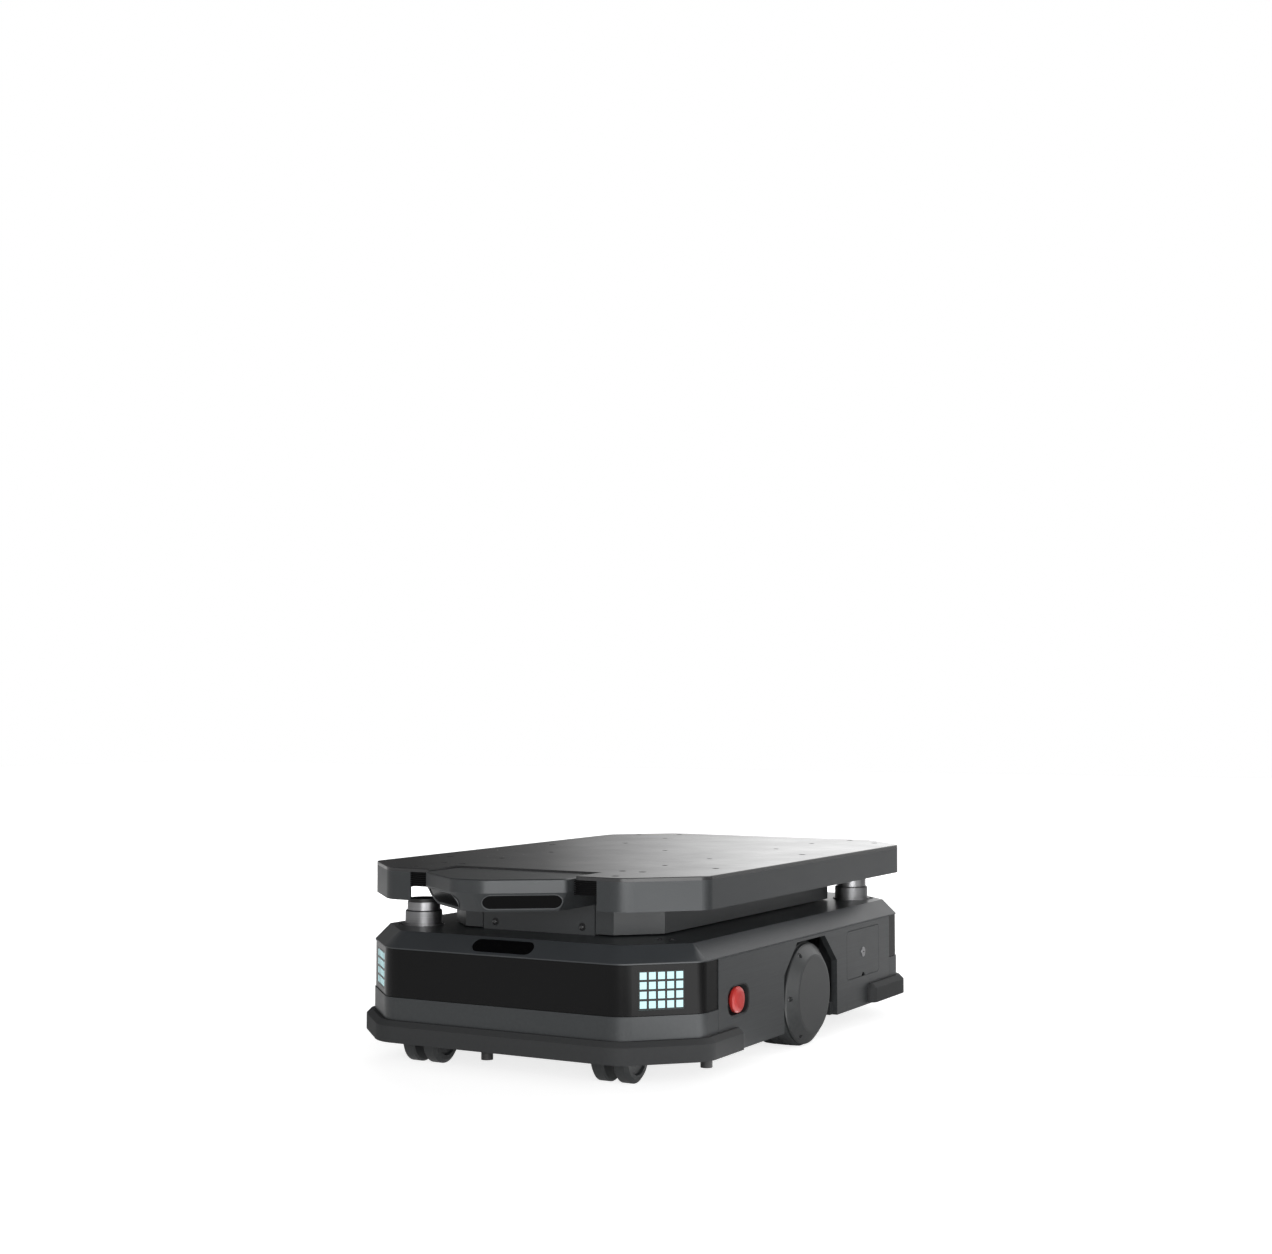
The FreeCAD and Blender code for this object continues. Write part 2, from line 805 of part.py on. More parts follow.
def make_door():
    """Flap over the service bay, turning on two pins in the edges of the panel's opening."""
    body = new_body("access_door_leaf")
    gap = S.door_gap
    outline = rectangle(S.door_front + gap, S.door_rear - gap, S.door_low + gap, S.door_high - gap)
    level = S.body_half_width - S.panel_wall
    pad(body, draw(body, "yz", level, [outline]), S.panel_wall)
    dress(body, "Fillet", upright_edges(body.Shape, outline, 0), S.door_round - gap)
    middle = (S.door_front + S.door_rear) / 2
    notch = draw(body, "yz", level - 1, [(middle, S.door_low, S.door_notch_radius)])
    pocket(body, notch, S.panel_wall + 2, True)
    lock = (middle, (S.door_low + S.door_high) / 2, S.lock_radius + S.pin_clearance)
    pocket(body, draw(body, "yz", level - 1, [lock]), S.panel_wall + 2, True)
    pin_z = S.door_high - S.door_pivot_drop
    pins = [cylinder("door_pin_front", S.door_pin_radius, S.door_pin_reach + gap + 2,
                     S.body_half_width - S.panel_wall / 2, S.door_front - S.door_pin_reach, pin_z, "y"),
            cylinder("door_pin_rear", S.door_pin_radius, S.door_pin_reach + gap + 2,
                     S.body_half_width - S.panel_wall / 2, S.door_rear - gap - 2, pin_z, "y")]
    return fuse("access_door_right", [body] + pins)


def make_door_lock():
    """Quarter-turn key lock: flanged barrel through the door, keyway, tongue behind."""
    body = new_body("door_lock_right")
    r, head = S.lock_radius, S.lock_head_radius
    face = S.panel_wall + 1
    sketch = draw(body, "xz", 0, [[(-S.lock_tail, 0), (face, 0), (face, head - 0.6), (face - 0.6, head),
                                   (S.panel_wall + 0.05, head), (S.panel_wall + 0.05, r),
                                   (-S.lock_tail, r)]])
    revolve(body, sketch, "H_Axis")
    keyway = rectangle(-r * 0.6, r * 0.6, r * -0.14, r * 0.14)
    pocket(body, draw(body, "yz", face, [keyway]), S.panel_wall)
    tongue = rectangle(-r, r, r * -2.6, r)
    pad(body, draw(body, "yz", -S.lock_tail, [tongue]), S.panel_wall, True)
    return place(body, S.body_half_width - S.panel_wall, (S.door_front + S.door_rear) / 2,
                 (S.door_low + S.door_high) / 2)


def make_service_bay():
    """Open sheet-metal tray behind the door."""
    m, w = S.bay_margin, S.bay_wall
    outer_face = S.body_half_width - S.panel_wall
    outer = box("service_bay_outer", outer_face - S.bay_depth, outer_face, S.door_front - m,
                S.door_rear + m, S.door_low - m, S.door_high + m)
    inner = box("service_bay_inner", outer_face - S.bay_depth + w, outer_face + 1,
                S.door_front - m + w, S.door_rear + m - w, S.door_low - m + w, S.door_high + m - w)
    return cut("service_bay_right", outer, [inner])


# ---------------------------------------------------------------- emergency stop

def make_estop_housing():
    """Oblong dark cup let into the side panel, with a collar that guides the button's stem."""
    body = new_body("estop_housing_right")
    level = S.body_half_width - S.estop_pocket_depth
    outline = estop_outline(S.free_gap)
    pad(body, draw(body, "yz", level, [outline]), S.estop_pocket_depth - 0.5)
    w = S.estop_wall
    hollow = estop_outline(S.free_gap + w)
    pocket(body, draw(body, "yz", S.body_half_width + 1, [hollow]), S.estop_pocket_depth + 1 - w)
    dress(body, "Fillet", upright_edges(body.Shape, hollow, 0), S.estop_pocket_round - S.free_gap - w)
    dress(body, "Fillet", upright_edges(body.Shape, outline, 0), S.estop_pocket_round - S.free_gap)
    collar = draw(body, "yz", level, [(-S.estop_place, S.estop_height, S.estop_stem_radius * 1.6)])
    pad(body, collar, w + 3)
    bore = draw(body, "yz", level - 1,
                [(-S.estop_place, S.estop_height, S.estop_stem_radius + S.pin_clearance)])
    pocket(body, bore, w + 5, True)
    return body


def make_estop_button():
    """Red mushroom head turned in one piece with its stem."""
    body = new_body("estop_button_right")
    r, t = S.estop_head_radius, S.estop_head_thick
    profile = [(-S.estop_stem_length, 0), (t, 0), (t, r * 0.35), (t - 1, r * 0.68), (t - 3.2, r * 0.9),
               (t - 6, r), (t * 0.28, r), (0, r * 0.82), (0, S.estop_stem_radius),
               (-S.estop_stem_length, S.estop_stem_radius)]
    revolve(body, draw(body, "xz", 0, [profile]), "H_Axis")
    return place(body, S.body_half_width + S.estop_proud - t, -S.estop_place, S.estop_height)


# ---------------------------------------------------------------- chassis

def make_chassis():
    """Welded frame: two side beams, two end trays, cross members and the arm pivots."""
    pieces = []
    for side in (-1, 1):
        inner, outer = S.beam_inner, S.beam_inner + S.beam_wall
        low, high = (inner, outer) if side > 0 else (-outer, -inner)
        pieces.append(box("beam_%d" % (side + 1), low, high, -S.beam_half_length, S.beam_half_length,
                          S.body_low + S.floor_thick, S.beam_high))
        arm_side = S.arm_inner + S.arm_thick
        pin_low = low if side > 0 else -arm_side - 4
        pieces.append(cylinder("pivot_pin_%d" % (side + 1), S.pivot_radius, arm_side + 4 - inner,
                               pin_low, S.arm_length, S.axle_height, "x"))
        boss_low = outer if side > 0 else -S.arm_inner + 0.5
        pieces.append(cylinder("pivot_boss_%d" % (side + 1), S.pivot_radius * 2,
                               S.arm_inner - outer - 0.5, boss_low, S.arm_length, S.axle_height, "x"))
        seat_low = outer - 1 if side > 0 else -arm_side
        seat_high = arm_side if side > 0 else 1 - outer
        reach = S.spring_radius + S.spring_wire * 2
        pieces.append(box("spring_seat_%d" % (side + 1), seat_low, seat_high, -S.arm_tail - reach,
                          reach - S.arm_tail, S.spring_top, S.spring_top + 6))
    for side in (-1, 1):
        body = new_body("end_tray_%d" % (side + 1))
        w, l, c = S.tray_half_width, S.tray_half_length, S.tray_cut
        start = side * (S.beam_half_length - 2)
        outline = [(w, start), (w, side * (l - c)), (w - c, side * l),
                   (c - w, side * l), (-w, side * (l - c)), (-w, start)]
        pad(body, draw(body, "xy", S.tray_level, [outline]), S.tray_thick)
        pieces.append(body)
        near = side * (S.beam_half_length - S.beam_wall)
        far = side * S.beam_half_length
        low, high = min(near, far, key=float), max(near, far, key=float)
        pieces.append(box("cross_%d" % (side + 1), -S.beam_inner - 1, S.beam_inner + 1, low, high,
                          S.body_low + S.floor_thick, S.beam_high))
    frame = fuse("chassis_weldment", pieces)
    bores = [cylinder("caster_bore_%d%d" % (i, j), S.caster_stem + S.pin_clearance, S.tray_thick + 2,
                      i * S.caster_x, j * S.caster_y, S.tray_level - 1)
             for i in (-1, 1) for j in (-1, 1)]
    return cut("chassis_frame", frame, bores)


def make_floor_plate():
    """Cross-shaped bottom plate that leaves the four casters and two wheels free."""
    body = new_body("floor_plate")
    w, l = S.beam_inner + S.beam_wall, S.beam_half_length
    t, e = S.floor_tongue, S.tray_half_length
    outline = [(w, -l), (w, l), (t, l), (t, e), (-t, e), (-t, l),
               (-w, l), (-w, -l), (-t, -l), (-t, -e), (t, -e), (t, -l)]
    pad(body, draw(body, "xy", S.body_low, [outline]), S.floor_thick)
    return body


def make_battery():
    """Battery pack with bevelled lid and a carrying slot at each end."""
    low = S.body_low + S.floor_thick
    body = new_body("battery_pack")
    outline = rectangle(-S.battery_half_width, S.battery_half_width, -S.battery_front, S.battery_rear)
    pad(body, draw(body, "xy", low, [outline]), S.battery_high - low)
    dress(body, "Fillet", upright_edges(body.Shape, outline), S.battery_round)
    dress(body, "Chamfer", rim_edges(body.Shape, S.battery_high), S.battery_round / 2)
    return body


def make_control_unit():
    """Computer and drive electronics in a finned case."""
    low = S.body_low + S.floor_thick
    body = new_body("control_unit")
    w = S.battery_half_width
    front, rear = -S.control_front, -S.control_rear
    pad(body, draw(body, "xy", low, [rectangle(-w, w, front, rear)]), S.control_high - low)
    count = int(float(S.control_fins))
    fin_pitch = w * 2 / (S.control_fins + 0.5)
    start = fin_pitch / 2 - w
    gap = draw(body, "xz", -rear - 1, [rectangle(start, start + fin_pitch / 2,
                                                 S.control_high - S.control_fin_depth,
                                                 S.control_high + 1)])
    groove = pocket(body, gap, rear - front + 2, True)
    pattern = body.newObject("PartDesign::LinearPattern", "control_fins")
    pattern.Originals = [groove]
    line = [f for f in body.Origin.OriginFeatures if f.Role == "X_Axis"][0]
    pattern.Direction = (line, [""])
    bind(pattern, "Length", fin_pitch * (S.control_fins - 1))
    pattern.Occurrences = count
    body.Tip = pattern
    doc.recompute()
    return body


def make_scanner(name, side):
    """Safety scanner: drum with a waisted dark optic, standing on the end tray."""
    body = new_body(name)
    r, waist, bevel = S.scanner_radius, S.scanner_radius * 0.74, S.scanner_bevel
    low, high, top = S.scanner_waist_low, S.scanner_waist_high, S.scanner_high
    profile = [(0, 0), (r, 0), (r, low - S.scanner_flare), (waist, low), (waist, high),
               (r, high + S.scanner_flare), (r, top - bevel), (r - bevel, top), (0, top)]
    revolve(body, draw(body, "xz", 0, [profile]), "V_Axis")
    return place(body, 0, side * S.scanner_place, S.tray_level + S.tray_thick)


def make_cliff_sensors():
    """Downward distance sensors under the body, the front corner ones on small brackets."""
    pieces = []
    r, t = S.cliff_radius, S.floor_thick
    for side in (-1, 1):
        pieces.append(cylinder("cliff_middle_%d" % (side + 1), r, S.body_low - S.cliff_low,
                               side * S.cliff_middle_x, side * S.cliff_middle_y, S.cliff_low))
        drum = cylinder("cliff_drum_%d" % (side + 1), r, S.body_low - S.cliff_low + t,
                        side * S.cliff_corner_x, -S.cliff_corner_y, S.cliff_low)
        near, far = side * S.cliff_corner_x, side * (S.body_half_width - S.panel_wall)
        low, high = min(near, far, key=float), max(near, far, key=float)
        arm = box("cliff_arm_%d" % (side + 1), low, high, -S.cliff_corner_y - r,
                  r - S.cliff_corner_y, S.body_low, S.body_low + t)
        pieces.append(fuse("cliff_corner_%d" % (side + 1), [drum, arm]))
    return group("cliff_sensors", pieces)


def make_charge_contacts():
    """Charging plate on the rear panel with two raised contact strips."""
    body = new_body("charge_contacts")
    level = -S.body_half_length
    mid = (S.bumper_high + S.apron_high) / 2
    w, h = S.contact_half_width, S.contact_half_height
    pad(body, draw(body, "xz", level, [rectangle(-w, w, mid - h, mid + h)]), 3, True)
    strips = [rectangle(-w * 0.85, w * 0.85, mid + z - 2.5, mid + z + 2.5) for z in (-h / 2, h / 2)]
    pad(body, draw(body, "xz", level, strips), 5, True)
    return body


# ---------------------------------------------------------------- load platform

def plate_corners():
    """Corner points of the load plate, rear right first, running to the front right."""
    w, c = S.plate_half_width, S.plate_cut
    f, r = S.plate_front, S.plate_rear
    return [(w, c - f), (w, r - c), (w - c, r), (c - w, r), (-w, r - c), (-w, c - f),
            (c - w, -f), (w - c, -f)]


def make_load_plate():
    """Load-carrying plate: notch for the camera pod, threaded fixing holes, screw recesses."""
    body = new_body("load_plate_blank")
    corners = plate_corners()
    n = S.notch_half_width
    outline = corners[:7] + [(-n, -S.plate_front), (-n, -S.notch_rear), (n, -S.notch_rear),
                             (n, -S.plate_front)] + corners[7:]
    level = S.plate_level - S.plate_thick
    pad(body, draw(body, "xy", level, [outline]), S.plate_thick)
    round_corners(body, corners[2:4] + corners[6:], corners[:2] + corners[4:6], 0)
    dress(body, "Chamfer", rim_edges(body.Shape, S.plate_level), S.plate_bevel)
    span_y = [S.hole_center + half * side for half in (S.hole_inner_span / 2, S.hole_outer_span / 2)
              for side in (-1, 1)]
    holes = [(0, S.hole_center, S.hole_radius)]
    holes += [(side * S.hole_half_pitch, y, S.hole_radius) for side in (-1, 1) for y in span_y]
    pocket(body, draw(body, "xy", S.plate_level, holes), S.plate_thick + 1)
    screws = [(side * x, y) for side in (-1, 1) for x, y in
              ((S.screw_side_x, S.screw_side_front), (S.screw_side_x, S.screw_side_middle),
               (S.screw_side_x, S.screw_side_rear), (S.screw_front_x, S.screw_front_y),
               (S.screw_front_x, S.screw_mid_y), (S.screw_inner_x, S.screw_mid_y),
               (S.screw_front_x, S.screw_rear_y))]
    bores = draw(body, "xy", S.plate_level, [(x, y, S.screw_head_radius) for x, y in screws])
    pocket(body, bores, S.screw_head_depth)
    body.Label = "load_plate"
    return body


def make_skirt():
    """Deep rim under the load plate, open at the front where the camera pod stands."""
    body = new_body("platform_skirt")
    w, c, f, r, t = S.plate_half_width, S.plate_cut, S.plate_front, S.plate_rear, S.skirt_wall
    m = S.skirt_mouth

    def half_ring(t):
        d = c - CUT_SHARE * t
        return [(m, t - f), (w - t - d, t - f), (w - t, t - f + d), (w - t, r - t - d), (w - t - d, r - t)]

    def both(points):
        return points + [(-x, y) for x, y in reversed(points)]

    outer, inner = both(half_ring(0)), both(half_ring(t))
    high = S.plate_level - S.plate_thick
    pad(body, draw(body, "xy", S.skirt_low, [outer + inner[::-1]]), high - S.skirt_low)
    for ring, inset in ((outer, 0), (inner, t)):
        round_corners(body, ring[1:9:7] + ring[4:6], ring[2:4] + ring[6:8], -inset)
    return body


def make_grilles():
    """Two ribbed black strips that close the rim's front mouth beside the pod."""
    pieces = []
    high = S.plate_level - S.plate_thick
    inner, outer = S.pod_half_width + S.pod_gap, S.skirt_mouth
    pitch = (high - S.grille_low) / S.grille_ribs
    front = 1 - S.plate_front
    for side in (-1, 1):
        ends = (inner, outer) if side > 0 else (-outer, -inner)
        body = new_body("grille_%d" % (side + 1))
        back = box("grille_back_%d" % (side + 1), ends[0], ends[1], front + S.grille_depth / 2,
                   front + S.grille_depth, S.grille_low, high)
        rib = rectangle(ends[0], ends[1], front, front + S.grille_depth / 2 + 1)
        first = pad(body, draw(body, "xy", S.grille_low, [rib]), pitch / 2)
        pattern = body.newObject("PartDesign::LinearPattern", "grille_ribs_%d" % (side + 1))
        pattern.Originals = [first]
        line = [f for f in body.Origin.OriginFeatures if f.Role == "Z_Axis"][0]
        pattern.Direction = (line, [""])
        bind(pattern, "Length", pitch * (S.grille_ribs - 1))
        pattern.Occurrences = int(float(S.grille_ribs))
        body.Tip = pattern
        doc.recompute()
        pieces.append(fuse("grille_strip_%d" % (side + 1), [back, body]))
    return group("skirt_grilles", pieces)


def make_underframe():
    """Hollow box frame under the plate, open at the front round the pedestal, with ribs."""
    body = new_body("underframe_walls")
    w, f, r, c, t = S.frame_half_width, S.frame_front, S.frame_rear, S.frame_cut, S.frame_wall
    m = S.pedestal_half_width + S.pod_gap

    def half_ring(t):
        d = c - CUT_SHARE * t
        return [(m, t - f), (w - t - d, t - f), (w - t, t - f + d), (w - t, r - t - d), (w - t - d, r - t)]

    def both(points):
        return points + [(-x, y) for x, y in reversed(points)]

    low, high = S.deck_level + S.frame_float, S.plate_level - S.plate_thick
    outline = both(half_ring(0)) + both(half_ring(t))[::-1]
    pad(body, draw(body, "xy", low, [outline]), high - low)
    ribs = [box("underframe_rib_%d" % i, 1 - w, w - 1, y, y + t, high - S.rib_height, high)
            for i, y in enumerate((S.pedestal_depth + 6 - f, S.rib_middle, S.rib_rear))]
    return fuse("lift_underframe", [body] + ribs)


def make_columns():
    """Fixed lift columns: steel tubes closed below, with a foot ring on the deck."""
    pieces = []
    base = S.tray_level + S.tray_thick
    r, bore = S.column_radius, S.ram_radius + S.ram_clearance
    top, deck, foot = S.column_top - base, S.deck_level - base, S.column_foot_radius
    profile = [(0, 0), (r, 0), (r, deck), (foot, deck), (foot, deck + S.column_foot_height),
               (r, deck + S.column_foot_height), (r, top - 1.5), (r - 1.5, top),
               (bore, top), (bore, S.tray_thick), (0, S.tray_thick)]
    for word, side in LIFT_CORNERS:
        body = new_body("column_" + word)
        revolve(body, draw(body, "xz", 0, [profile]), "V_Axis")
        pieces.append(place(body, side * S.column_x, side * S.column_y, base))
    return group("lift_columns", pieces)


def make_rams():
    """Rams that slide in the columns and carry the underframe."""
    return group("lift_rams", [
        cylinder("ram_" + word, S.ram_radius, S.ram_top - S.ram_low,
                 side * S.column_x, side * S.column_y, S.ram_low) for word, side in LIFT_CORNERS])


def make_ram_brackets():
    """Plates that bolt the ram heads to the underframe's cut corners."""
    pieces = []
    half = S.bracket_half_width
    for (word, side), end in zip(LIFT_CORNERS, (S.frame_front, S.frame_rear)):
        span = (S.column_x + S.column_y - (S.frame_half_width + end - S.frame_cut)) * math.sqrt(0.5)
        arm = new_body("bracket_arm_" + word)
        pad(arm, draw(arm, "xy", 0, [rectangle(0, span, -half, half)]), S.bracket_thick)
        turn = Rotation(Vector(0, 0, 1), math.degrees(math.atan2(-side, -side)))
        place(arm, side * S.column_x, side * S.column_y, S.ram_top, turn)
        cap = cylinder("bracket_cap_" + word, S.ram_radius - 1, S.bracket_thick,
                       side * S.column_x, side * S.column_y, S.ram_top)
        pieces.append(fuse("bracket_" + word, [arm, cap]))
    return group("ram_brackets", pieces)


# ---------------------------------------------------------------- camera pod

facet_slope = tangent(S.pod_facet_angle)
half_facet = tangent(S.pod_facet_angle / 2)
half_rest = tangent(45 - S.pod_facet_angle / 2)
pod_shoulder = S.pod_nose - (S.pod_half_width - S.pod_nose_half) * facet_slope
pod_rear = S.frame_front + S.pod_gap


def pod_outline(inset):
    """Plan of the pod with its nose and two slanting camera faces, moved in by inset."""
    nose, side = S.pod_nose_half - inset * half_facet, S.pod_half_width - inset
    front, shoulder = inset - S.pod_nose, inset * half_rest - pod_shoulder
    return [(nose, front), (side, shoulder), (side, -pod_rear),
            (-side, -pod_rear), (-side, shoulder), (-nose, front)]


def facet_place(side):
    """Placement whose z looks out of a camera face and whose x runs along it."""
    knee, low = pod_outline(0), pod_outline(S.pod_chin_inset)
    a, b = (Vector(side * float(x), float(y), float(S.pod_knee)) for x, y in knee[:2])
    c, d = (Vector(side * float(x), float(y), float(S.pod_low)) for x, y in low[:2])
    along = (b - a).normalize() * side
    out = (b - a).cross(c - a).normalize()
    if out.z > 0:
        out = out * -1
    return Placement((a + b + c + d) * 0.25, Rotation(along, out.cross(along), out, "ZXY"))


def stadium_block(name, side, grow, depth, sink):
    """A slot-shaped block square to a camera face, from sink below the face inwards."""
    body = new_body(name)
    sketch = new_sketch(body, "xy", -sink)
    add_stadium(sketch, S.window_half_length + grow, S.window_half_height + grow)
    pad(body, sketch, depth, True)
    body.Placement = facet_place(side)
    return body


def draw_pod(body, level, inset, nose_round, side_round):
    """Sketch of the pod's plan at one level, with its four front corners rounded."""
    sketch = new_sketch(body, "xy", level)
    add_polygon(sketch, pod_outline(inset), [nose_round, side_round, 0, 0, side_round, nose_round])
    return sketch


def make_pod():
    """Camera housing: upright upper band, undercut chin, stepped under the plate, two sockets."""
    body = new_body("sensor_pod_shell")
    nose, side = S.pod_nose_round, S.pod_side_round
    pad(body, draw_pod(body, S.pod_knee, 0, nose, side), S.pod_level - S.pod_knee)
    dress(body, "Fillet", rim_edges(body.Shape, S.pod_level), S.pod_edge_round)
    loft = body.newObject("PartDesign::AdditiveLoft", "pod_chin")
    loft.Profile = draw_pod(body, S.pod_low, S.pod_chin_inset, nose - S.pod_chin_inset, side / 2)
    loft.Sections = [draw_pod(body, S.pod_knee, 0, nose, side)]
    loft.Ruled = True
    doc.recompute()
    step = rectangle(-S.pod_half_width - 1, S.pod_half_width + 1, -S.notch_rear - S.pod_gap, 1 - pod_rear)
    pocket(body, draw(body, "xy", S.pod_level + 1, [step]), S.pod_level + 1 - S.pod_step)
    neck = rectangle(-S.pod_neck, S.pod_neck, -pod_rear - 1, -S.frame_front)
    pad(body, draw(body, "xy", S.pod_low, [neck]), S.pod_step - S.pod_low)
    sockets = [stadium_block("pod_socket_%s" % word, facet, S.free_gap,
                             S.window_recess + S.window_thick + S.camera_depth + 10, -10)
               for word, facet in (("right", 1), ("left", -1))]
    return cut("sensor_pod", body, sockets)


def make_window(word, side):
    """Dark glass over a camera, set slightly into its face."""
    return stadium_block("camera_window_" + word, side, 0, S.window_thick, S.window_recess)


def make_cameras():
    """Two depth cameras behind their windows."""
    return group("depth_cameras", [
        stadium_block("depth_camera_" + word, side, S.window_half_height * -0.12, S.camera_depth - 0.5,
                      S.window_recess + S.window_thick)
        for word, side in (("right", 1), ("left", -1))])


def make_pedestal():
    """Folded box that stands on the deck and carries the pod."""
    w, f, t = S.pedestal_half_width, S.frame_front, S.panel_wall
    outer = box("pedestal_outer", -w, w, -f, S.pedestal_depth - f, S.deck_level, S.pedestal_top)
    inner = box("pedestal_inner", t - w, w - t, t - f, S.pedestal_depth - f + 1,
                S.deck_level - 1, S.pedestal_top - t)
    screws = [cylinder("pedestal_screw_%d" % (side + 1), S.screw_radius, t + 2,
                       side * S.pedestal_screw_x, -f - 1, S.pedestal_screw_z, "y") for side in (-1, 1)]
    return cut("sensor_pedestal", outer, [inner] + screws)


# ---------------------------------------------------------------- drive wheels

def make_tyre():
    """Moulded tyre: crowned tread with two grooves and rounded shoulders."""
    body = new_body("drive_tyre_right")
    a, b, r, bore = S.tyre_inner, S.tyre_outer, S.tyre_radius, S.tyre_bore
    mid = (a + b) / 2
    profile = [(a + 3, bore), (b - 3, bore), (b, bore + 3), (b, r - 7), (b - 2, r - 2.5), (b - 6, r - 0.6),
               (mid + 14, r), (mid + 13, r - 2), (mid + 9, r - 2), (mid + 8, r), (mid - 8, r),
               (mid - 9, r - 2), (mid - 13, r - 2), (mid - 14, r), (a + 6, r - 0.6), (a + 2, r - 2.5),
               (a, r - 7), (a, bore + 3)]
    revolve(body, draw(body, "xz", 0, [profile]), "H_Axis")
    return place(body, 0, 0, S.axle_height)


def make_hub():
    """Hub motor: drum with end flanges that grip the tyre, bored for the axle."""
    body = new_body("hub_motor_right")
    a, b = S.tyre_inner, S.tyre_outer
    bore = S.axle_radius + S.pin_clearance
    r = S.tyre_bore
    profile = [(a - 4, bore), (b + 1, bore), (b + 1, r - 6), (b - 3, r), (a + 3, r), (a, r - 3),
               (a - 2, r - S.hub_lip), (a - 4, r - S.hub_lip - 2)]
    revolve(body, draw(body, "xz", 0, [profile]), "H_Axis")
    return place(body, 0, 0, S.axle_height)


def make_hub_cover():
    """Dished outer wheel cover with a flat face and six screw recesses on its cone."""
    body = new_body("hub_cover_right")
    rim, face = S.cover_rim_radius, S.cover_face_radius
    x0, x1, back = S.cover_rim_x, S.cover_face_x, S.tyre_outer + 1
    profile = [(back, 0), (x1, 0), (x1, face - 3), (x1 - 0.7, face + 1), (x0 + 2.5, rim - 3),
               (x0 + 0.5, rim - 0.6), (x0 - 0.8, rim), (back, rim)]
    revolve(body, draw(body, "xz", 0, [profile]), "H_Axis")
    spot = (S.cover_screw_ring, 0, S.cover_screw_radius)
    recess = pocket(body, draw(body, "yz", x1, [spot]), x1 - x0 - 1.5)
    pattern = body.newObject("PartDesign::PolarPattern", "cover_screws")
    pattern.Originals = [recess]
    line = [f for f in body.Origin.OriginFeatures if f.Role == "X_Axis"][0]
    pattern.Axis = (line, [""])
    pattern.Angle = 360
    pattern.Occurrences = 6
    body.Tip = pattern
    doc.recompute()
    return place(body, 0, 0, S.axle_height)


def make_arm():
    """Trailing arm: bar with a bored eye at the pivot, the axle, and a tail for the spring."""
    r, eye = S.axle_radius * 2.4, S.pivot_radius * 2.2
    a, t, z = S.arm_inner, S.arm_thick, S.axle_height
    pieces = [
        cylinder("arm_hub", r, t, a, 0, z, "x"),
        cylinder("arm_eye", eye, t, a, S.arm_length, z, "x"),
        box("arm_bar", a, a + t, 0, S.arm_length, z - eye * 0.8, z + eye * 0.8),
        box("arm_tail", a, a + t, -S.arm_tail - S.spring_radius - 2 * S.spring_wire, 0,
            z - r * 0.5, z + r * 0.5),
        cylinder("axle", S.axle_radius, S.tyre_outer + 1 - a - t, a + t, 0, z, "x")]
    bar = fuse("arm_blank", pieces)
    bore = cylinder("arm_bore", S.pivot_radius + S.pin_clearance, t + 2, a - 1, S.arm_length, z, "x")
    return cut("swing_arm_right", bar, [bore])


def make_spring():
    """Compression spring between the arm's tail and the seat on the frame."""
    body = new_body("suspension_spring_right")
    low = S.axle_height + S.axle_radius * 1.2
    wire, gap = S.spring_wire, S.pin_clearance * 5
    height = S.spring_top - low - 2 * wire - 2 * gap
    section = draw(body, "xz", 0, [(S.spring_radius - wire, 0, wire)])
    coil = body.newObject("PartDesign::AdditiveHelix", "spring_coil")
    coil.Profile = section
    coil.ReferenceAxis = (section, ["V_Axis"])
    coil.Mode = 2
    bind(coil, "Height", height)
    bind(coil, "Turns", S.spring_turns)
    doc.recompute()
    return place(body, S.arm_inner + S.arm_thick / 2, -S.arm_tail, low + wire + gap)


# ---------------------------------------------------------------- casters

def caster_parts(name, i, j):
    """Fork and twin wheel of one caster; both are drawn about the swivel's axis."""
    back, r, axle = -S.caster_trail, S.caster_radius, S.caster_axle
    web = S.caster_web / 2
    fork = new_body("caster_fork_blank_" + name)
    top = S.tray_level - S.caster_plate - S.free_gap
    side = [(back - 12, r - 6), (back - 6, r - 12), (back + 8, r - 12), (10, r + 12), (20, top),
            (-20, top), (back - 12, r + 8)]
    sheet_yz = draw(fork, "yz", -web, [side])
    pad(fork, sheet_yz, web * 2)
    head = cylinder("caster_head_" + name, S.caster_head_radius, 5, 0, 0, top - 5)
    stem = cylinder("caster_stem_" + name, S.caster_stem,
                    S.tray_level + S.tray_thick - top, 0, 0, top)
    joined = fuse("caster_fork_whole_" + name, [fork, head, stem])
    bore = cylinder("caster_axle_bore_" + name, axle + S.pin_clearance, web * 2 + 2,
                    -web - 1, back, r, "x")
    fork = cut("caster_fork_" + name, joined, [bore])
    place(fork, i * S.caster_x, j * S.caster_y, 0)

    half, tread, gap = S.caster_width / 2, S.caster_tread, S.free_gap
    wheel = new_body("caster_wheel_" + name)
    inner = half - tread
    tyre = [(inner, axle), (inner, r - 3), (inner + 3, r), (half - 5, r), (half, r - 6), (half, r * 0.66),
            (half - 4, r * 0.6), (half - 4, r * 0.3), (half - 2, r * 0.24), (half - 2, 0)]
    profile = ([(0, 0), (0, axle)] + tyre)
    revolve(wheel, draw(wheel, "xz", 0, [profile]), "H_Axis")
    mirror = wheel.newObject("PartDesign::Mirrored", "caster_twin_" + name)
    mirror.Originals = [wheel.Tip]
    mirror.MirrorPlane = ([f for f in wheel.Origin.OriginFeatures if f.Role == "YZ_Plane"][0], [""])
    wheel.Tip = mirror
    doc.recompute()
    place(wheel, i * S.caster_x, j * S.caster_y + back, r)
    return fork, wheel


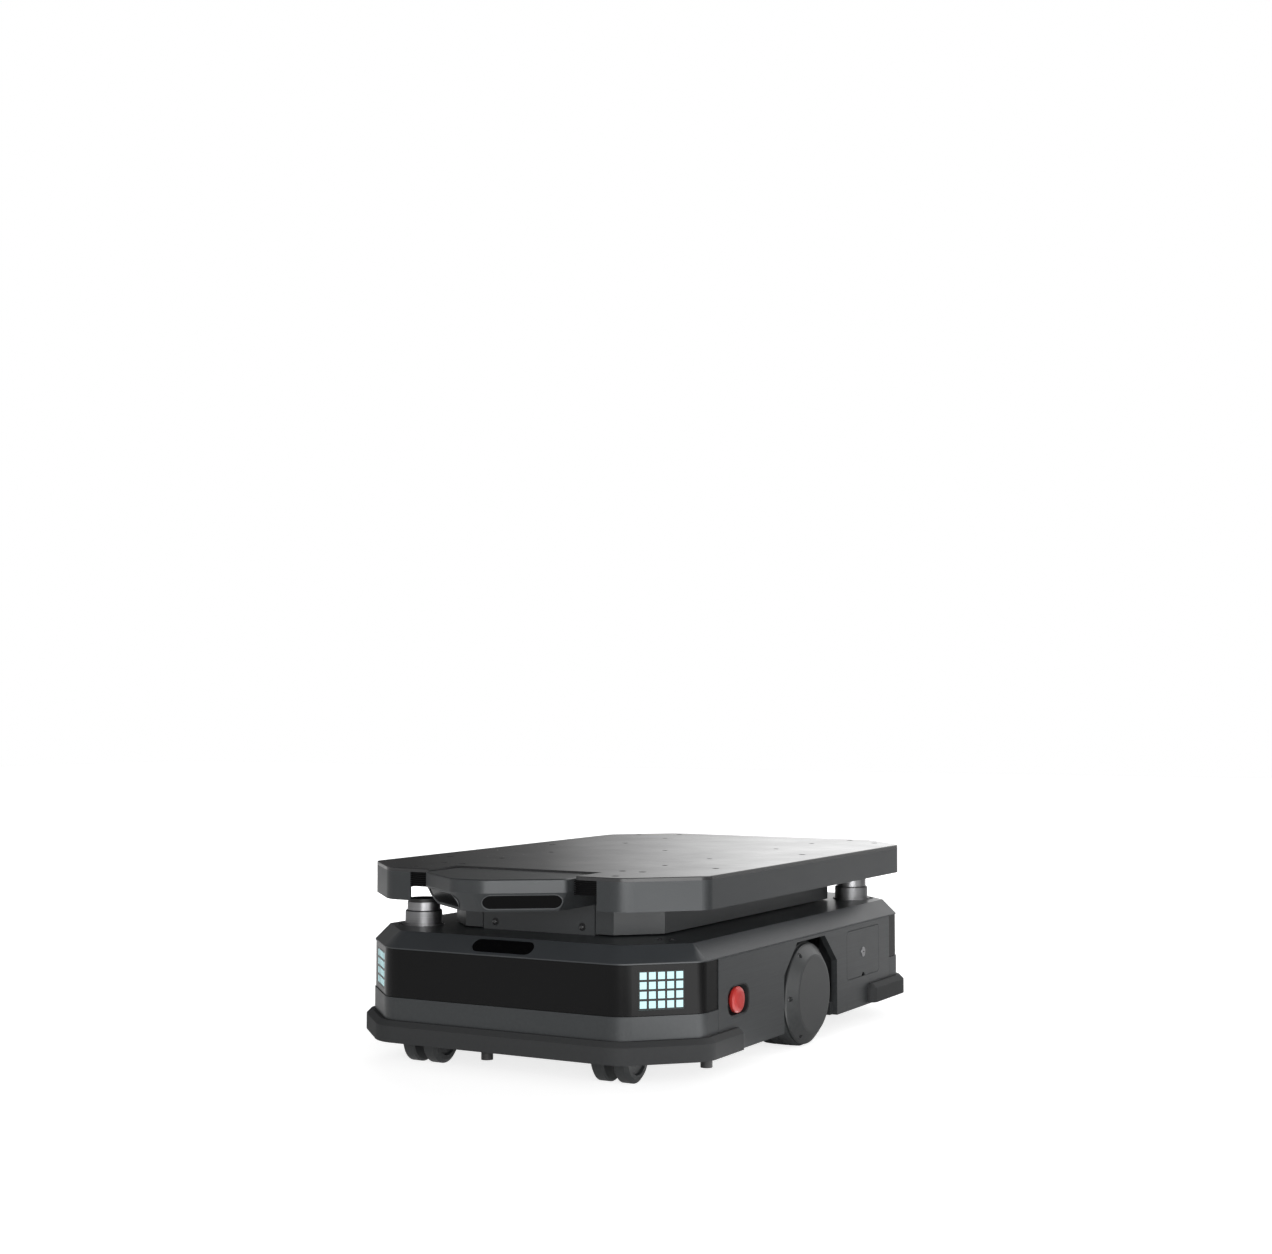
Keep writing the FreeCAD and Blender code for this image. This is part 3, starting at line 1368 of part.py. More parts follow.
def make_caster_plates():
    """Four mounting plates that hang the casters' bearings under the end trays."""
    pieces = []
    for i in (-1, 1):
        for j in (-1, 1):
            tag = "%d%d" % (i + 1, j + 1)
            x, y = i * S.caster_x, j * S.caster_y
            half = S.caster_plate_half
            flat = box("caster_flat_" + tag, x - half, x + half, y - half, y + half,
                       S.tray_level - S.caster_plate, S.tray_level)
            bore = cylinder("caster_flat_bore_" + tag, S.caster_stem + S.pin_clearance,
                            S.caster_plate + 2, x, y, S.tray_level - S.caster_plate - 1)
            pieces.append(cut("caster_plate_" + tag, flat, [bore]))
    return group("caster_plates", pieces)


# ---------------------------------------------------------------- the whole robot

keep(make_chassis())
keep(make_floor_plate())
keep(make_deck_cover())
keep(make_shoulder_window())
for item in (make_side_panel(), make_estop_housing(), make_door(), make_door_lock(),
             make_estop_button(), make_arm(), make_spring(), make_tyre(), make_hub(),
             make_hub_cover()):
    keep(item)
    keep(mirrored(item.Label.replace("right", "left"), item))
bay = make_service_bay()
keep(group("service_bays", [bay, mirrored("service_bay_left", bay)]))
for word, side, band_end, bumper_end in (("front", -1, S.band_front_end, S.bumper_front_end),
                                         ("rear", 1, S.band_rear_end, S.bumper_rear_end)):
    keep(make_band(word + "_band", band_end, side))
    keep(wrap(word + "_apron", 0, S.panel_wall, band_end, S.body_low, S.apron_high, side))
    keep(make_bumper(word + "_bumper", bumper_end, side))
keep(at_corners("corner_light_plates", make_light_plate))
keep(at_corners("corner_light_lenses", make_light_lens))
keep(make_battery())
keep(make_control_unit())
keep(group("safety_scanners", [make_scanner("scanner_front", -1), make_scanner("scanner_rear", 1)]))
keep(make_cliff_sensors())
keep(make_charge_contacts())
keep(make_columns())
keep(make_pedestal())
keep(make_pod())
keep(make_window("right", 1))
keep(make_window("left", -1))
keep(make_cameras())
keep(make_caster_plates())
keep(make_load_plate())
keep(make_skirt())
keep(make_grilles())
keep(make_underframe())
keep(make_rams())
keep(make_ram_brackets())
for name, i, j in (("front_left", -1, -1), ("front_right", 1, -1),
                   ("rear_left", -1, 1), ("rear_right", 1, 1)):
    for item in caster_parts(name, i, j):
        keep(item)

doc.recompute()

faulty = [item.Name for item in doc.Objects if "Invalid" in item.State or "Error" in item.State]
faulty += [item.Label for item in parts if item.Shape.isNull() or not item.Shape.isValid()]
if faulty:
    raise RuntimeError("these objects failed: " + ", ".join(faulty))

os.makedirs("parts", exist_ok=True)
for item in parts:
    item.Shape.exportStep(os.path.join("parts", item.Label + ".step"))
    print(item.Label, len(item.Shape.Solids), round(item.Shape.Volume / 1000, 1))
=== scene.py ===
import math

import bmesh
import bpy
import numpy as np
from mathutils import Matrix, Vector


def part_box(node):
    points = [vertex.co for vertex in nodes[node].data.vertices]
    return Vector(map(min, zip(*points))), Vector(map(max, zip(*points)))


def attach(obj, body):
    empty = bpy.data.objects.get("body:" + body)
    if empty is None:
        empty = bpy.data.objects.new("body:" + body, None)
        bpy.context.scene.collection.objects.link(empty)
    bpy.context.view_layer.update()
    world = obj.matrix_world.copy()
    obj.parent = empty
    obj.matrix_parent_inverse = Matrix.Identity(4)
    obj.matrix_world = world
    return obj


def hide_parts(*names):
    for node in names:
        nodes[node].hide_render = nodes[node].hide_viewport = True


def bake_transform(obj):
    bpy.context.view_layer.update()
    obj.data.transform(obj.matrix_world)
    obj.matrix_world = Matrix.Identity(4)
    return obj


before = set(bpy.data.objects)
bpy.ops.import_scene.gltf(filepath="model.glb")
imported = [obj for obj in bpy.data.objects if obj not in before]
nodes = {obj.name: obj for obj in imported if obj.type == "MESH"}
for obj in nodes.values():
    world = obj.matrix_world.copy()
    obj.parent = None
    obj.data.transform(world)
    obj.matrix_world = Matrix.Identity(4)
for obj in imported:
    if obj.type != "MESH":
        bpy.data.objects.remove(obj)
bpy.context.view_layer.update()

# ---------------------------------------------------------------- studio
# The robot stands on a pale seamless paper floor that runs out to white. A wide soft box with a
# fill above it stands low to the right of the lens, and smaller ones over the robot's top and both
# its rear corners. The walls are dark straight ahead and white to the right of that.

lens = bpy.data.cameras.new("lens")
lens.lens, lens.sensor_width = 53.03, 36.0
lens.clip_start, lens.clip_end = 0.05, 60.0
camera = bpy.data.objects.new("camera", lens)
camera.location = (1.6268, -2.9785, 0.5684)
camera.rotation_euler = (math.radians(92.67), 0.0, math.radians(29.11))
bpy.context.scene.collection.objects.link(camera)
bpy.context.scene.camera = camera
bpy.context.scene.view_settings.view_transform = "Standard"


def mesh_object(name, points, faces, smooth=False):
    """An object whose mesh has the points (n by 3) and the faces (rows of point numbers)."""
    mesh = bpy.data.meshes.new(name)
    mesh.from_pydata(np.asarray(points, float).tolist(), [], np.asarray(faces).tolist())
    mesh.update()
    mesh.polygons.foreach_set("use_smooth", [smooth] * len(mesh.polygons))
    made = bpy.data.objects.new(name, mesh)
    bpy.context.scene.collection.objects.link(made)
    return made


def put(tree, kind, **values):
    """Adds a node: set_NAME is its own setting, in_N its N-th input, any other name an input."""
    made = tree.nodes.new("ShaderNode" + kind)
    for name, value in values.items():
        if name.startswith("set_"):
            setattr(made, name[4:], value)
            continue
        socket = made.inputs[int(name[3:]) if name.startswith("in_") else name.replace("_", " ")]
        if isinstance(value, bpy.types.NodeSocket):
            tree.links.new(value, socket)
        elif isinstance(value, tuple) and len(value) == 3 and socket.type == "RGBA":
            socket.default_value = (*value, 1.0)
        else:
            socket.default_value = value
    return made


floor_paint = bpy.data.materials.new("floor_paint")
floor_paint.use_nodes = True
tree = floor_paint.node_tree
shade = tree.nodes["Principled BSDF"]
place = put(tree, "TexCoord").outputs["Object"]
spots = put(tree, "TexNoise", Vector=place, Scale=3.0, Detail=4.0)
tint = put(tree, "MapRange", Value=spots.outputs["Fac"], To_Min=0.56, To_Max=0.6)
tree.links.new(tint.outputs["Result"], shade.inputs["Base Color"])
shade.inputs["Roughness"].default_value = 0.8
shade.inputs["Specular IOR Level"].default_value = 0.2
# The lens sees the paper overexposed, more so far from the robot; its light on the robot is plain.
shade.inputs["Emission Color"].default_value = (1.0, 1.0, 1.0, 1.0)
away = put(tree, "VectorMath", set_operation="LENGTH", in_0=place)
faded = put(tree, "MapRange", Value=away.outputs["Value"], From_Min=0.8, From_Max=2.6,
            To_Min=0.78, To_Max=1.1)
ray = put(tree, "LightPath").outputs


room_ahead, room_right = (-0.486, 0.874, 0.0), (0.874, 0.486, 0.0)


def ring_of(tree, direction, tones, top):
    """Colour that follows the turn of a direction about the upright, from tones by degrees / top.

    The turn is the angle whose tangent is (direction . room_right) / (direction . room_ahead). It
    is fixed in the room, 0 along room_ahead and positive to the right of it.
    """
    side = put(tree, "VectorMath", set_operation="DOT_PRODUCT", in_0=direction, in_1=room_right)
    ahead = put(tree, "VectorMath", set_operation="DOT_PRODUCT", in_0=direction, in_1=room_ahead)
    turn = put(tree, "Math", set_operation="ARCTAN2", in_0=side.outputs["Value"],
               in_1=ahead.outputs["Value"])
    share = put(tree, "MapRange", Value=turn.outputs[0], From_Min=-math.pi, From_Max=math.pi)
    ring = put(tree, "ValToRGB", Fac=share.outputs["Result"])
    stops = ring.color_ramp.elements
    while len(stops) < len(tones):
        stops.new(0.5)
    for stop, (angle, tone) in zip(stops, tones.items()):
        stop.position, stop.color = (angle + 180) / 360, (tone / top, tone / top, tone / top, 1.0)
    return ring.outputs["Color"]


# What the robot's coats mirror of the paper: brighter towards the right front, where lamps stand.
# There the paper glows for mirror rays only, a painted reflection that no lamp casts.
floor_glow_top = 5.0
floor_glow_tones = {-180: 0.3, -150: 0.3, -133: 0.42, -60: 0.2, 30: 0.35, 56: 0.3, 75: 0.0, 130: 0.0,
               140: 0.6, 149: 4.4, 160: 4.4, 168: 1.0, 176: 0.3, 180: 0.3}
glowing = ring_of(tree, place, floor_glow_tones, floor_glow_top)
glowing = put(tree, "VectorMath", set_operation="DOT_PRODUCT", in_0=glowing, in_1=(floor_glow_top, 0.0, 0.0))
# The glow reaches only mirror rays: a painted reflection in the robot's coats.
mirrored = put(tree, "Math", set_operation="MULTIPLY", in_0=ray["Is Glossy Ray"],
               in_1=glowing.outputs["Value"])
lifted = put(tree, "Mix", in_0=ray["Is Camera Ray"], in_2=mirrored.outputs[0],
             in_3=faded.outputs["Result"])
tree.links.new(lifted.outputs[0], shade.inputs["Emission Strength"])

# A flat square of 8 by 8 cells, floor_reach metres to each side.
floor_reach, cells = 14, 8
u, v = np.meshgrid(*[np.linspace(-1, 1, cells + 1)] * 2, indexing="ij")
floor_points = np.stack([floor_reach * u, floor_reach * v, 0 * u], axis=-1).reshape(-1, 3)
corner = (np.arange(cells)[:, None] * (cells + 1) + np.arange(cells)).ravel()
floor_faces = np.stack([corner, corner + cells + 1, corner + cells + 2, corner + 1], axis=1)
floor = mesh_object("studio_floor", floor_points, floor_faces)
floor.data.materials.append(floor_paint)

world = bpy.data.worlds.new("studio_walls")
bpy.context.scene.world = world
world.use_nodes = True
tree = world.node_tree
tree.nodes.clear()
toward = put(tree, "TexCoord").outputs["Generated"]
# Brightness of the walls at each turn in degrees from room_ahead, right positive.
wall_top = 3.0
wall_tones = {-180: 0.8, -150: 0.7, -117: 0.7, -60: 0.3, -28: 0.2, -7: 0.05, -3: 0.14, 0: 0.6,
              4: 1.3, 8: 1.6, 30: 1.3, 46: 1.2, 53: 0.6, 60: 0.1, 95: 0.15, 112: 1.6, 128: 2.2,
              147: 1.5, 170: 0.9, 180: 0.8}
cards = ring_of(tree, toward, wall_tones, wall_top)
rise = put(tree, "SeparateXYZ", Vector=toward).outputs["Z"]
roof = put(tree, "MapRange", Value=rise, From_Min=0.35, From_Max=0.8)
wall = put(tree, "Mix", set_data_type="RGBA", in_0=roof.outputs["Result"], in_6=cards,
           in_7=(0.012, 0.012, 0.012))
full = put(tree, "VectorMath", set_operation="SCALE", in_0=wall.outputs[2],
           Scale=wall_top).outputs[0]
seen = put(tree, "LightPath").outputs["Is Camera Ray"]
shown = put(tree, "Mix", set_data_type="RGBA", in_0=seen, in_6=full, in_7=(1.0, 1.0, 1.0))
sky = put(tree, "Background", Color=shown.outputs[2])
tree.links.new(sky.outputs[0], put(tree, "OutputWorld").inputs[0])


def soft_box(name, size, power, place, target, mirrored=True):
    """A rectangular lamp of size (width, height) at place that faces target.

    The coats mirror it unless mirrored is False; then it only lights them.
    """
    lamp = bpy.data.lights.new(name, "AREA")
    lamp.shape, lamp.size, lamp.size_y = "RECTANGLE", *size
    lamp.energy = power
    made = bpy.data.objects.new(name, lamp)
    made.location = place
    made.rotation_euler = (Vector(target) - Vector(place)).to_track_quat("-Z", "Y").to_euler()
    made.visible_camera, made.visible_glossy = False, mirrored
    bpy.context.scene.collection.objects.link(made)
    return made


soft_box("front_box", (2.2, 1.0), 53.0, (2.0, -3.6, 0.55), (0.2, -0.4, 0.15))
soft_box("front_fill", (2.2, 1.0), 42.0, (2.0, -3.6, 1.45), (0.2, -0.4, 0.15), mirrored=False)
soft_box("side_box", (2.0, 2.0), 24.0, (2.6, 2.8, 2.0), (0.2, 0.3, 0.2))
soft_box("top_box", (2.0, 2.0), 22.0, (0.9, 1.6, 3.0), (0.0, 0.0, 0.3))
soft_box("rear_box", (2.0, 1.6), 50.0, (-2.4, 2.6, 1.5), (0.0, 0.2, 0.15), mirrored=False)


# ---------------------------------------------------------------- chassis, floor plate, trays
# Folded and welded sheet steel with a dark electro-coat: side beams, end trays, the bottom plate,
# the casters' mounting plates and the two open boxes behind the service flaps.

def effect(name, inputs, outputs):
    """An empty node group with the given sockets: (name, kind, default) and (name, kind)."""
    group = bpy.data.node_groups.new(name, "ShaderNodeTree")
    kinds = {"value": "NodeSocketFloat", "colour": "NodeSocketColor", "vector": "NodeSocketVector"}
    for label, kind, default in inputs:
        socket = group.interface.new_socket(name=label, in_out="INPUT", socket_type=kinds[kind])
        socket.default_value = default
    for label, kind in outputs:
        group.interface.new_socket(name=label, in_out="OUTPUT", socket_type=kinds[kind])
    entry, leave = group.nodes.new("NodeGroupInput"), group.nodes.new("NodeGroupOutput")
    return group, entry.outputs, leave.inputs


# Orange peel: soft bumps of two sizes added together, as sprayed or baked coats have.
peel, given, out = effect("orange_peel", [("Grain Size", "value", 0.001), ("Depth", "value", 1.0)],
                          [("Height", "value")])
where = put(peel, "TexCoord").outputs["Object"]
fine_scale = put(peel, "Math", set_operation="DIVIDE", in_0=1.0, in_1=given["Grain Size"])
broad_scale = put(peel, "Math", set_operation="MULTIPLY", in_0=fine_scale.outputs[0], in_1=0.21)
fine = put(peel, "TexNoise", Vector=where, Scale=fine_scale.outputs[0], Detail=2.0)
broad = put(peel, "TexNoise", Vector=where, Scale=broad_scale.outputs[0], Detail=1.0)
both = put(peel, "Math", set_operation="ADD", in_0=fine.outputs["Fac"], in_1=broad.outputs["Fac"])
deep = put(peel, "Math", set_operation="MULTIPLY", in_0=both.outputs[0], in_1=given["Depth"])
peel.links.new(deep.outputs[0], out["Height"])

# Handling: a colour that drifts a little over the surface, with faint dust near the floor.
handling, given, out = effect(
    "handling", [("Colour", "colour", (0.1, 0.1, 0.1, 1.0)), ("Dust", "value", 0.15),
                 ("Drift", "value", 0.12), ("Roughness", "value", 0.5)],
    [("Colour", "colour"), ("Roughness", "value")])
dust_height, dust_colour = 0.16, (0.2, 0.2, 0.195)
where = put(handling, "TexCoord").outputs["Object"]
cloud = put(handling, "TexNoise", Vector=where, Scale=7.0, Detail=5.0, Roughness=0.6).outputs["Fac"]
speck = put(handling, "TexNoise", Vector=where, Scale=160.0, Detail=3.0).outputs["Fac"]
height = put(handling, "SeparateXYZ", Vector=where).outputs["Z"]
low = put(handling, "MapRange", Value=height, From_Min=0.0, From_Max=dust_height, To_Min=1.0,
          To_Max=0.0).outputs["Result"]
gather = put(handling, "MapRange", Value=speck, From_Min=0.25, From_Max=0.8).outputs["Result"]
film = put(handling, "Math", set_operation="MULTIPLY", in_0=low, in_1=gather).outputs[0]
film = put(handling, "Math", set_operation="MULTIPLY", in_0=film, in_1=given["Dust"]).outputs[0]
span = put(handling, "Math", set_operation="SUBTRACT", in_0=cloud, in_1=0.5).outputs[0]
span = put(handling, "Math", set_operation="MULTIPLY", in_0=span, in_1=given["Drift"]).outputs[0]
gain = put(handling, "Math", set_operation="ADD", in_0=span, in_1=1.0).outputs[0]
toned = put(handling, "VectorMath", set_operation="SCALE", in_0=given["Colour"],
            Scale=gain).outputs[0]
dusty = put(handling, "Mix", set_data_type="RGBA", in_0=film, in_6=toned,
            in_7=dust_colour).outputs[2]
handling.links.new(dusty, out["Colour"])
rub = put(handling, "Math", set_operation="MULTIPLY", in_0=span, in_1=1.3).outputs[0]
rub = put(handling, "Math", set_operation="ADD", in_0=rub, in_1=given["Roughness"]).outputs[0]
rub = put(handling, "Math", set_operation="ADD", in_0=rub, in_1=film, set_use_clamp=True).outputs[0]
handling.links.new(rub, out["Roughness"])


def group_node(tree, group, **values):
    """Places a node group and sets its named inputs."""
    made = tree.nodes.new("ShaderNodeGroup")
    made.node_tree = group
    for name, value in values.items():
        socket = made.inputs[name.replace("_", " ")]
        if isinstance(value, bpy.types.NodeSocket):
            tree.links.new(value, socket)
        elif socket.type == "RGBA":
            socket.default_value = (*value, 1.0)
        else:
            socket.default_value = value
    return made.outputs


def finish_of(name, colour, roughness, grain=0.0012, bump=0.1, dust=0.15, drift=0.12, **shader):
    """A coated or moulded surface: handled colour and roughness over a fine orange-peel bump."""
    made = bpy.data.materials.new(name)
    made.use_nodes = True
    tree = made.node_tree
    shade = tree.nodes["Principled BSDF"]
    worn = group_node(tree, handling, Colour=colour, Dust=dust, Drift=drift, Roughness=roughness)
    tree.links.new(worn["Colour"], shade.inputs["Base Color"])
    tree.links.new(worn["Roughness"], shade.inputs["Roughness"])
    grained = group_node(tree, peel, Grain_Size=grain, Depth=1.0)
    relief = put(tree, "Bump", Strength=bump, Distance=grain * 0.3, Height=grained["Height"])
    tree.links.new(relief.outputs[0], shade.inputs["Normal"])
    for socket, value in shader.items():
        shade.inputs[socket.replace("_", " ")].default_value = value
    made.diffuse_color = (*colour, 1.0)
    return made


def cover(material, *names):
    """Gives CAD nodes this material in place of their plain one."""
    for name in names:
        nodes[name].data.materials.clear()
        nodes[name].data.materials.append(material)


electro_coat = finish_of("electro_coat", (0.022, 0.023, 0.025), 0.42, grain=0.0016, bump=0.12,
                         dust=0.3)
cover(electro_coat, "chassis_frame", "floor_plate", "caster_plates", "service_bays")


# ---------------------------------------------------------------- body panels
# Folded aluminium panels in an anthracite powder coat with a metallic sheen: the deck lid with its
# sloping shoulder, the two sides with their flaps, and the low aprons at the front and rear.

anthracite = (0.036, 0.039, 0.041)
powder_coat = finish_of("powder_coat", anthracite, 0.36, grain=0.0009, bump=0.16, dust=0.1,
                        Metallic=0.25, Specular_IOR_Level=0.45)
cover(powder_coat, "front_apron", "rear_apron")


def turned(rings, center, axis, sides=24):
    """Points and faces of a shape turned on a lathe.

    A ring (distance, height, hexed) is the circle center + height * axis + distance * (cos a * u
    + sin a * v). Where it is hexed, its distance is divided by cos(a mod 60 deg - 30 deg), which
    makes a hexagon of that half width across its flats.
    """
    distance, height, hexed = (np.array(column, float)[:, None] for column in zip(*rings))
    axis = np.array(axis, float)
    u = np.cross(axis, (0.0, 0.0, 1.0) if abs(axis[2]) < 0.5 else (1.0, 0.0, 0.0))
    u /= np.linalg.norm(u)
    v = np.cross(axis, u)
    angle = np.arange(sides) * (2 * math.pi / sides)
    flats = np.cos(angle % (math.pi / 3) - math.pi / 6)
    reach = distance / np.where(hexed > 0, flats, 1.0)
    points = (np.array(center, float) + height[..., None] * axis
              + (reach * np.cos(angle))[..., None] * u + (reach * np.sin(angle))[..., None] * v)
    return points.reshape(-1, 3), grid_faces(len(rings), sides)


def grid_faces(rows, columns):
    """Squares of a grid of points whose last column joins the first."""
    row, column = np.meshgrid(np.arange(rows - 1), np.arange(columns), indexing="ij")
    following = (column + 1) % columns
    corners = (row * columns + column, row * columns + following,
               (row + 1) * columns + following, (row + 1) * columns + column)
    return np.stack(corners, axis=-1).reshape(-1, 4)


def fitted(name, shapes, material, body):
    """One piece made of several shapes (points in mm, faces), on a body unless that is None.

    Points that coincide are merged, which closes the shapes' seams and poles.
    """
    starts = np.cumsum([0] + [len(points) for points, faces in shapes[:-1]])
    points = np.concatenate([points for points, faces in shapes]) / 1000
    faces = np.concatenate([shape[1] + start for start, shape in zip(starts, shapes)])
    made = mesh_object(name, points, faces)
    whole = bmesh.new()
    whole.from_mesh(made.data)
    bmesh.ops.remove_doubles(whole, verts=whole.verts, dist=1e-7)
    whole.to_mesh(made.data)
    whole.free()
    made.data.materials.append(material)
    if body:
        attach(made, body)
    return made


deck_coat = finish_of("deck_coat", (0.032, 0.035, 0.038), 0.34, grain=0.0009, bump=0.12, dust=0.0,
                      Specular_IOR_Level=0.5)
cover(deck_coat, "deck_cover")

# Low button screws that hold the lid to the frame beside the lift columns.
deck_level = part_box("deck_cover")[1][2] * 1000
button = [(0, 0, 0), (4.2, 0, 0), (4.2, 0.5, 0), (3.9, 1.1, 0), (3.2, 1.6, 0), (2.4, 1.9, 0),
          (1.5, 1.9, 1), (1.5, 0.6, 1), (0, 0.6, 0)]
deck_screw_places = [(222.8, -380.5), (238.8, -371.6), (260.9, 401.3), (-260.9, -401.3)]
upwards, seat_gap = (0, 0, 1), 0.02
screw_black_and_shade = finish_of("screw_black_and_shade", (0.012, 0.012, 0.013), 0.4, grain=0.0006, bump=0.05,
                        dust=0.0)
fitted("deck_screws",
       [turned(button, (x, y, deck_level + seat_gap), upwards) for x, y in deck_screw_places],
       screw_black_and_shade, "base")

# Brushing: long fine scratches, made of noise that is stretched along one direction.
brushing, given, out = effect(
    "brushing", [("Stretch", "vector", (1.0, 1.0, 1.0)), ("Depth", "value", 1.0)],
    [("Height", "value"), ("Mask", "value")])
where = put(brushing, "TexCoord").outputs["Object"]
pulled = put(brushing, "VectorMath", set_operation="MULTIPLY", in_0=where,
             in_1=given["Stretch"]).outputs[0]
lines = put(brushing, "TexNoise", Vector=pulled, Scale=1.0, Detail=5.0,
            Roughness=0.7).outputs["Fac"]
deep = put(brushing, "Math", set_operation="MULTIPLY", in_0=lines, in_1=given["Depth"]).outputs[0]
brushing.links.new(deep, out["Height"])
brushing.links.new(lines, out["Mask"])


def brushed_of(name, colour, roughness, stretch, bump=0.2, contrast=0.15, **shader):
    """A surface with scratches along one direction that change its colour and gloss a little."""
    made = finish_of(name, colour, roughness, **shader)
    tree = made.node_tree
    shade = tree.nodes["Principled BSDF"]
    lines = group_node(tree, brushing, Stretch=stretch, Depth=1.0)
    worn = shade.inputs["Base Color"].links[0].from_socket
    gain = put(tree, "MapRange", Value=lines["Mask"], From_Min=0.25, From_Max=0.75,
               To_Min=1 - contrast, To_Max=1 + contrast).outputs["Result"]
    toned = put(tree, "VectorMath", set_operation="SCALE", in_0=worn, Scale=gain).outputs[0]
    tree.links.new(toned, shade.inputs["Base Color"])
    relief = put(tree, "Bump", Strength=bump, Distance=0.0002, Height=lines["Height"],
                 Normal=shade.inputs["Normal"].links[0].from_socket)
    tree.links.new(relief.outputs[0], shade.inputs["Normal"])
    return made


side_coat = brushed_of("side_coat", anthracite, 0.34, (30.0, 9.0, 420.0), contrast=0.22,
                       grain=0.0009, bump=0.25, dust=0.1, Metallic=0.25)
cover(side_coat, "side_panel_right", "side_panel_left", "access_door_right", "access_door_left")

black_lacquer = finish_of("black_lacquer", (0.006, 0.006, 0.0062), 0.2, grain=0.004, bump=0.02,
                          dust=0.0, Specular_IOR_Level=0.12)
cover(black_lacquer, "front_band", "rear_band")


# ---------------------------------------------------------------- bumpers
# One round each end of the body: extruded foam rubber with a matt skin, pushed on to a rail that is
# screwed to the apron.

bumper_skin = finish_of("bumper_skin", (0.035, 0.036, 0.037), 0.62, grain=0.0006, bump=0.12,
                        dust=0.03, drift=0.06, Specular_IOR_Level=0.15)
cover(bumper_skin, "front_bumper", "rear_bumper")


# ---------------------------------------------------------------- lights and windows
# Light panels of clear acrylic with a pale blue glow behind a black mask, and smoked acrylic
# windows over the cameras and in the front shoulder.

glow = bpy.data.materials.new("panel_glow")
glow.use_nodes = True
tree = glow.node_tree
shade = tree.nodes["Principled BSDF"]
where = put(tree, "TexCoord").outputs["Object"]
haze = put(tree, "TexNoise", Vector=where, Scale=220.0, Detail=2.0).outputs["Fac"]
tone = put(tree, "MapRange", Value=haze, To_Min=0.85, To_Max=1.0).outputs["Result"]
pale_blue = (0.6, 0.96, 1.0)
glowing = put(tree, "VectorMath", set_operation="SCALE", in_0=pale_blue, Scale=tone).outputs[0]
tree.links.new(glowing, shade.inputs["Emission Color"])
shade.inputs["Base Color"].default_value = (0.1, 0.14, 0.15, 1.0)
shade.inputs["Emission Strength"].default_value = 0.93
shade.inputs["Roughness"].default_value = 0.25
cover(glow, "corner_light_lenses")

smoked_acrylic = finish_of("smoked_acrylic", (0.002, 0.002, 0.0022), 0.12, grain=0.01,
                           bump=0.01, dust=0.0, Specular_IOR_Level=0.12)
cover(smoked_acrylic, "camera_window_right", "camera_window_left", "shoulder_window")

# A thin lip round each camera window, let into the gap between the window and the pod. Its grey is
# lighter than the pod's coat: partly satin trim, partly a painted highlight, a thin light line all
# round the window.
bezel_satin = finish_of("bezel_satin", (0.075, 0.08, 0.083), 0.3, grain=0.001, bump=0.05,
                        dust=0.0)


def slot_ring(profile, run, radius, center, along, out, steps=20):
    """Points and faces of a closed profile carried round a slot.

    The slot is a circle of the radius whose halves stand run to either side of center. A profile
    point (offset, height) lies at center + (+-run + (radius + offset) * cos a) * along
    + (radius + offset) * sin a * up + height * out, with up square to along and out.
    """
    along, out = np.array(along, float), np.array(out, float)
    up = np.cross(out, along)
    half = np.linspace(-math.pi / 2, math.pi / 2, steps)
    angle = np.concatenate([half, half + math.pi])
    shift = np.where(np.arange(2 * steps) < steps, run, -run)
    offset, height = (np.array(column, float)[:, None, None]
                      for column in zip(*profile, profile[0]))
    reach = radius + offset
    points = (np.array(center, float) + (shift[:, None] + reach * np.cos(angle)[:, None]) * along
              + reach * np.sin(angle)[:, None] * up + height * out)
    return points.reshape(-1, 3), grid_faces(len(profile) + 1, 2 * steps)


bezel = [(0.08, -2.2), (0.34, -2.2), (0.34, 0.02), (1.7, 0.02), (1.65, 0.25), (1.2, 0.45),
         (0.5, 0.35), (0.08, -0.2)]
window_run, window_radius = 48.5, 12.5
window_x, window_y, window_z = 72.725, -545.069, 281.199
fitted("window_bezels",
       [slot_ring(bezel, window_run, window_radius, (side * window_x, window_y, window_z),
                  (0.806, 0.592 * side, 0.0), (side * 0.5058, -0.6886, -0.5196))
        for side in (-1, 1)],
       bezel_satin, "base")

light_mask = finish_of("light_mask", (0.006, 0.0055, 0.0052), 0.3, grain=0.002, bump=0.05,
                       dust=0.0, Specular_IOR_Level=0.25)
cover(light_mask, "corner_light_plates")


# ---------------------------------------------------------------- moulded black parts
# Glass-filled nylon with a fine spark-eroded grain: stop button cups, scanners, floor sensors, the
# battery's case and the slotted strips under the load plate.

black_nylon = finish_of("black_nylon", (0.009, 0.009, 0.0095), 0.5, grain=0.0008, bump=0.3,
                        dust=0.2)
cover(black_nylon, "estop_housing_right", "estop_housing_left", "safety_scanners",
      "cliff_sensors")
grille_black = finish_of("grille_black", (0.003, 0.003, 0.0032), 0.6, grain=0.0008, bump=0.2,
                         dust=0.0, Specular_IOR_Level=0.12)
cover(grille_black, "skirt_grilles")
battery_case = finish_of("battery_case", (0.03, 0.033, 0.037), 0.55, grain=0.0011, bump=0.3,
                         dust=0.2)
cover(battery_case, "battery_pack")


# ---------------------------------------------------------------- bare metal parts of the base
# The cast alloy cases of the control unit and the depth cameras, screwed to the frame and the pod,
# and the brushed copper charge contacts at the rear.

finned_alloy = brushed_of("finned_alloy", (0.3, 0.31, 0.32), 0.38, (300.0, 12.0, 12.0),
                          Metallic=1.0)
cover(finned_alloy, "control_unit", "depth_cameras")
copper = brushed_of("copper", (0.68, 0.36, 0.2), 0.3, (12.0, 200.0, 300.0), Metallic=1.0,
                    dust=0.1)
cover(copper, "charge_contacts")


# ---------------------------------------------------------------- lift columns and platform
# Turned steel columns with chromed rams carry a welded underframe. On it lie the aluminium load
# plate, its folded rim and the camera pod's fixed housing in front of it.

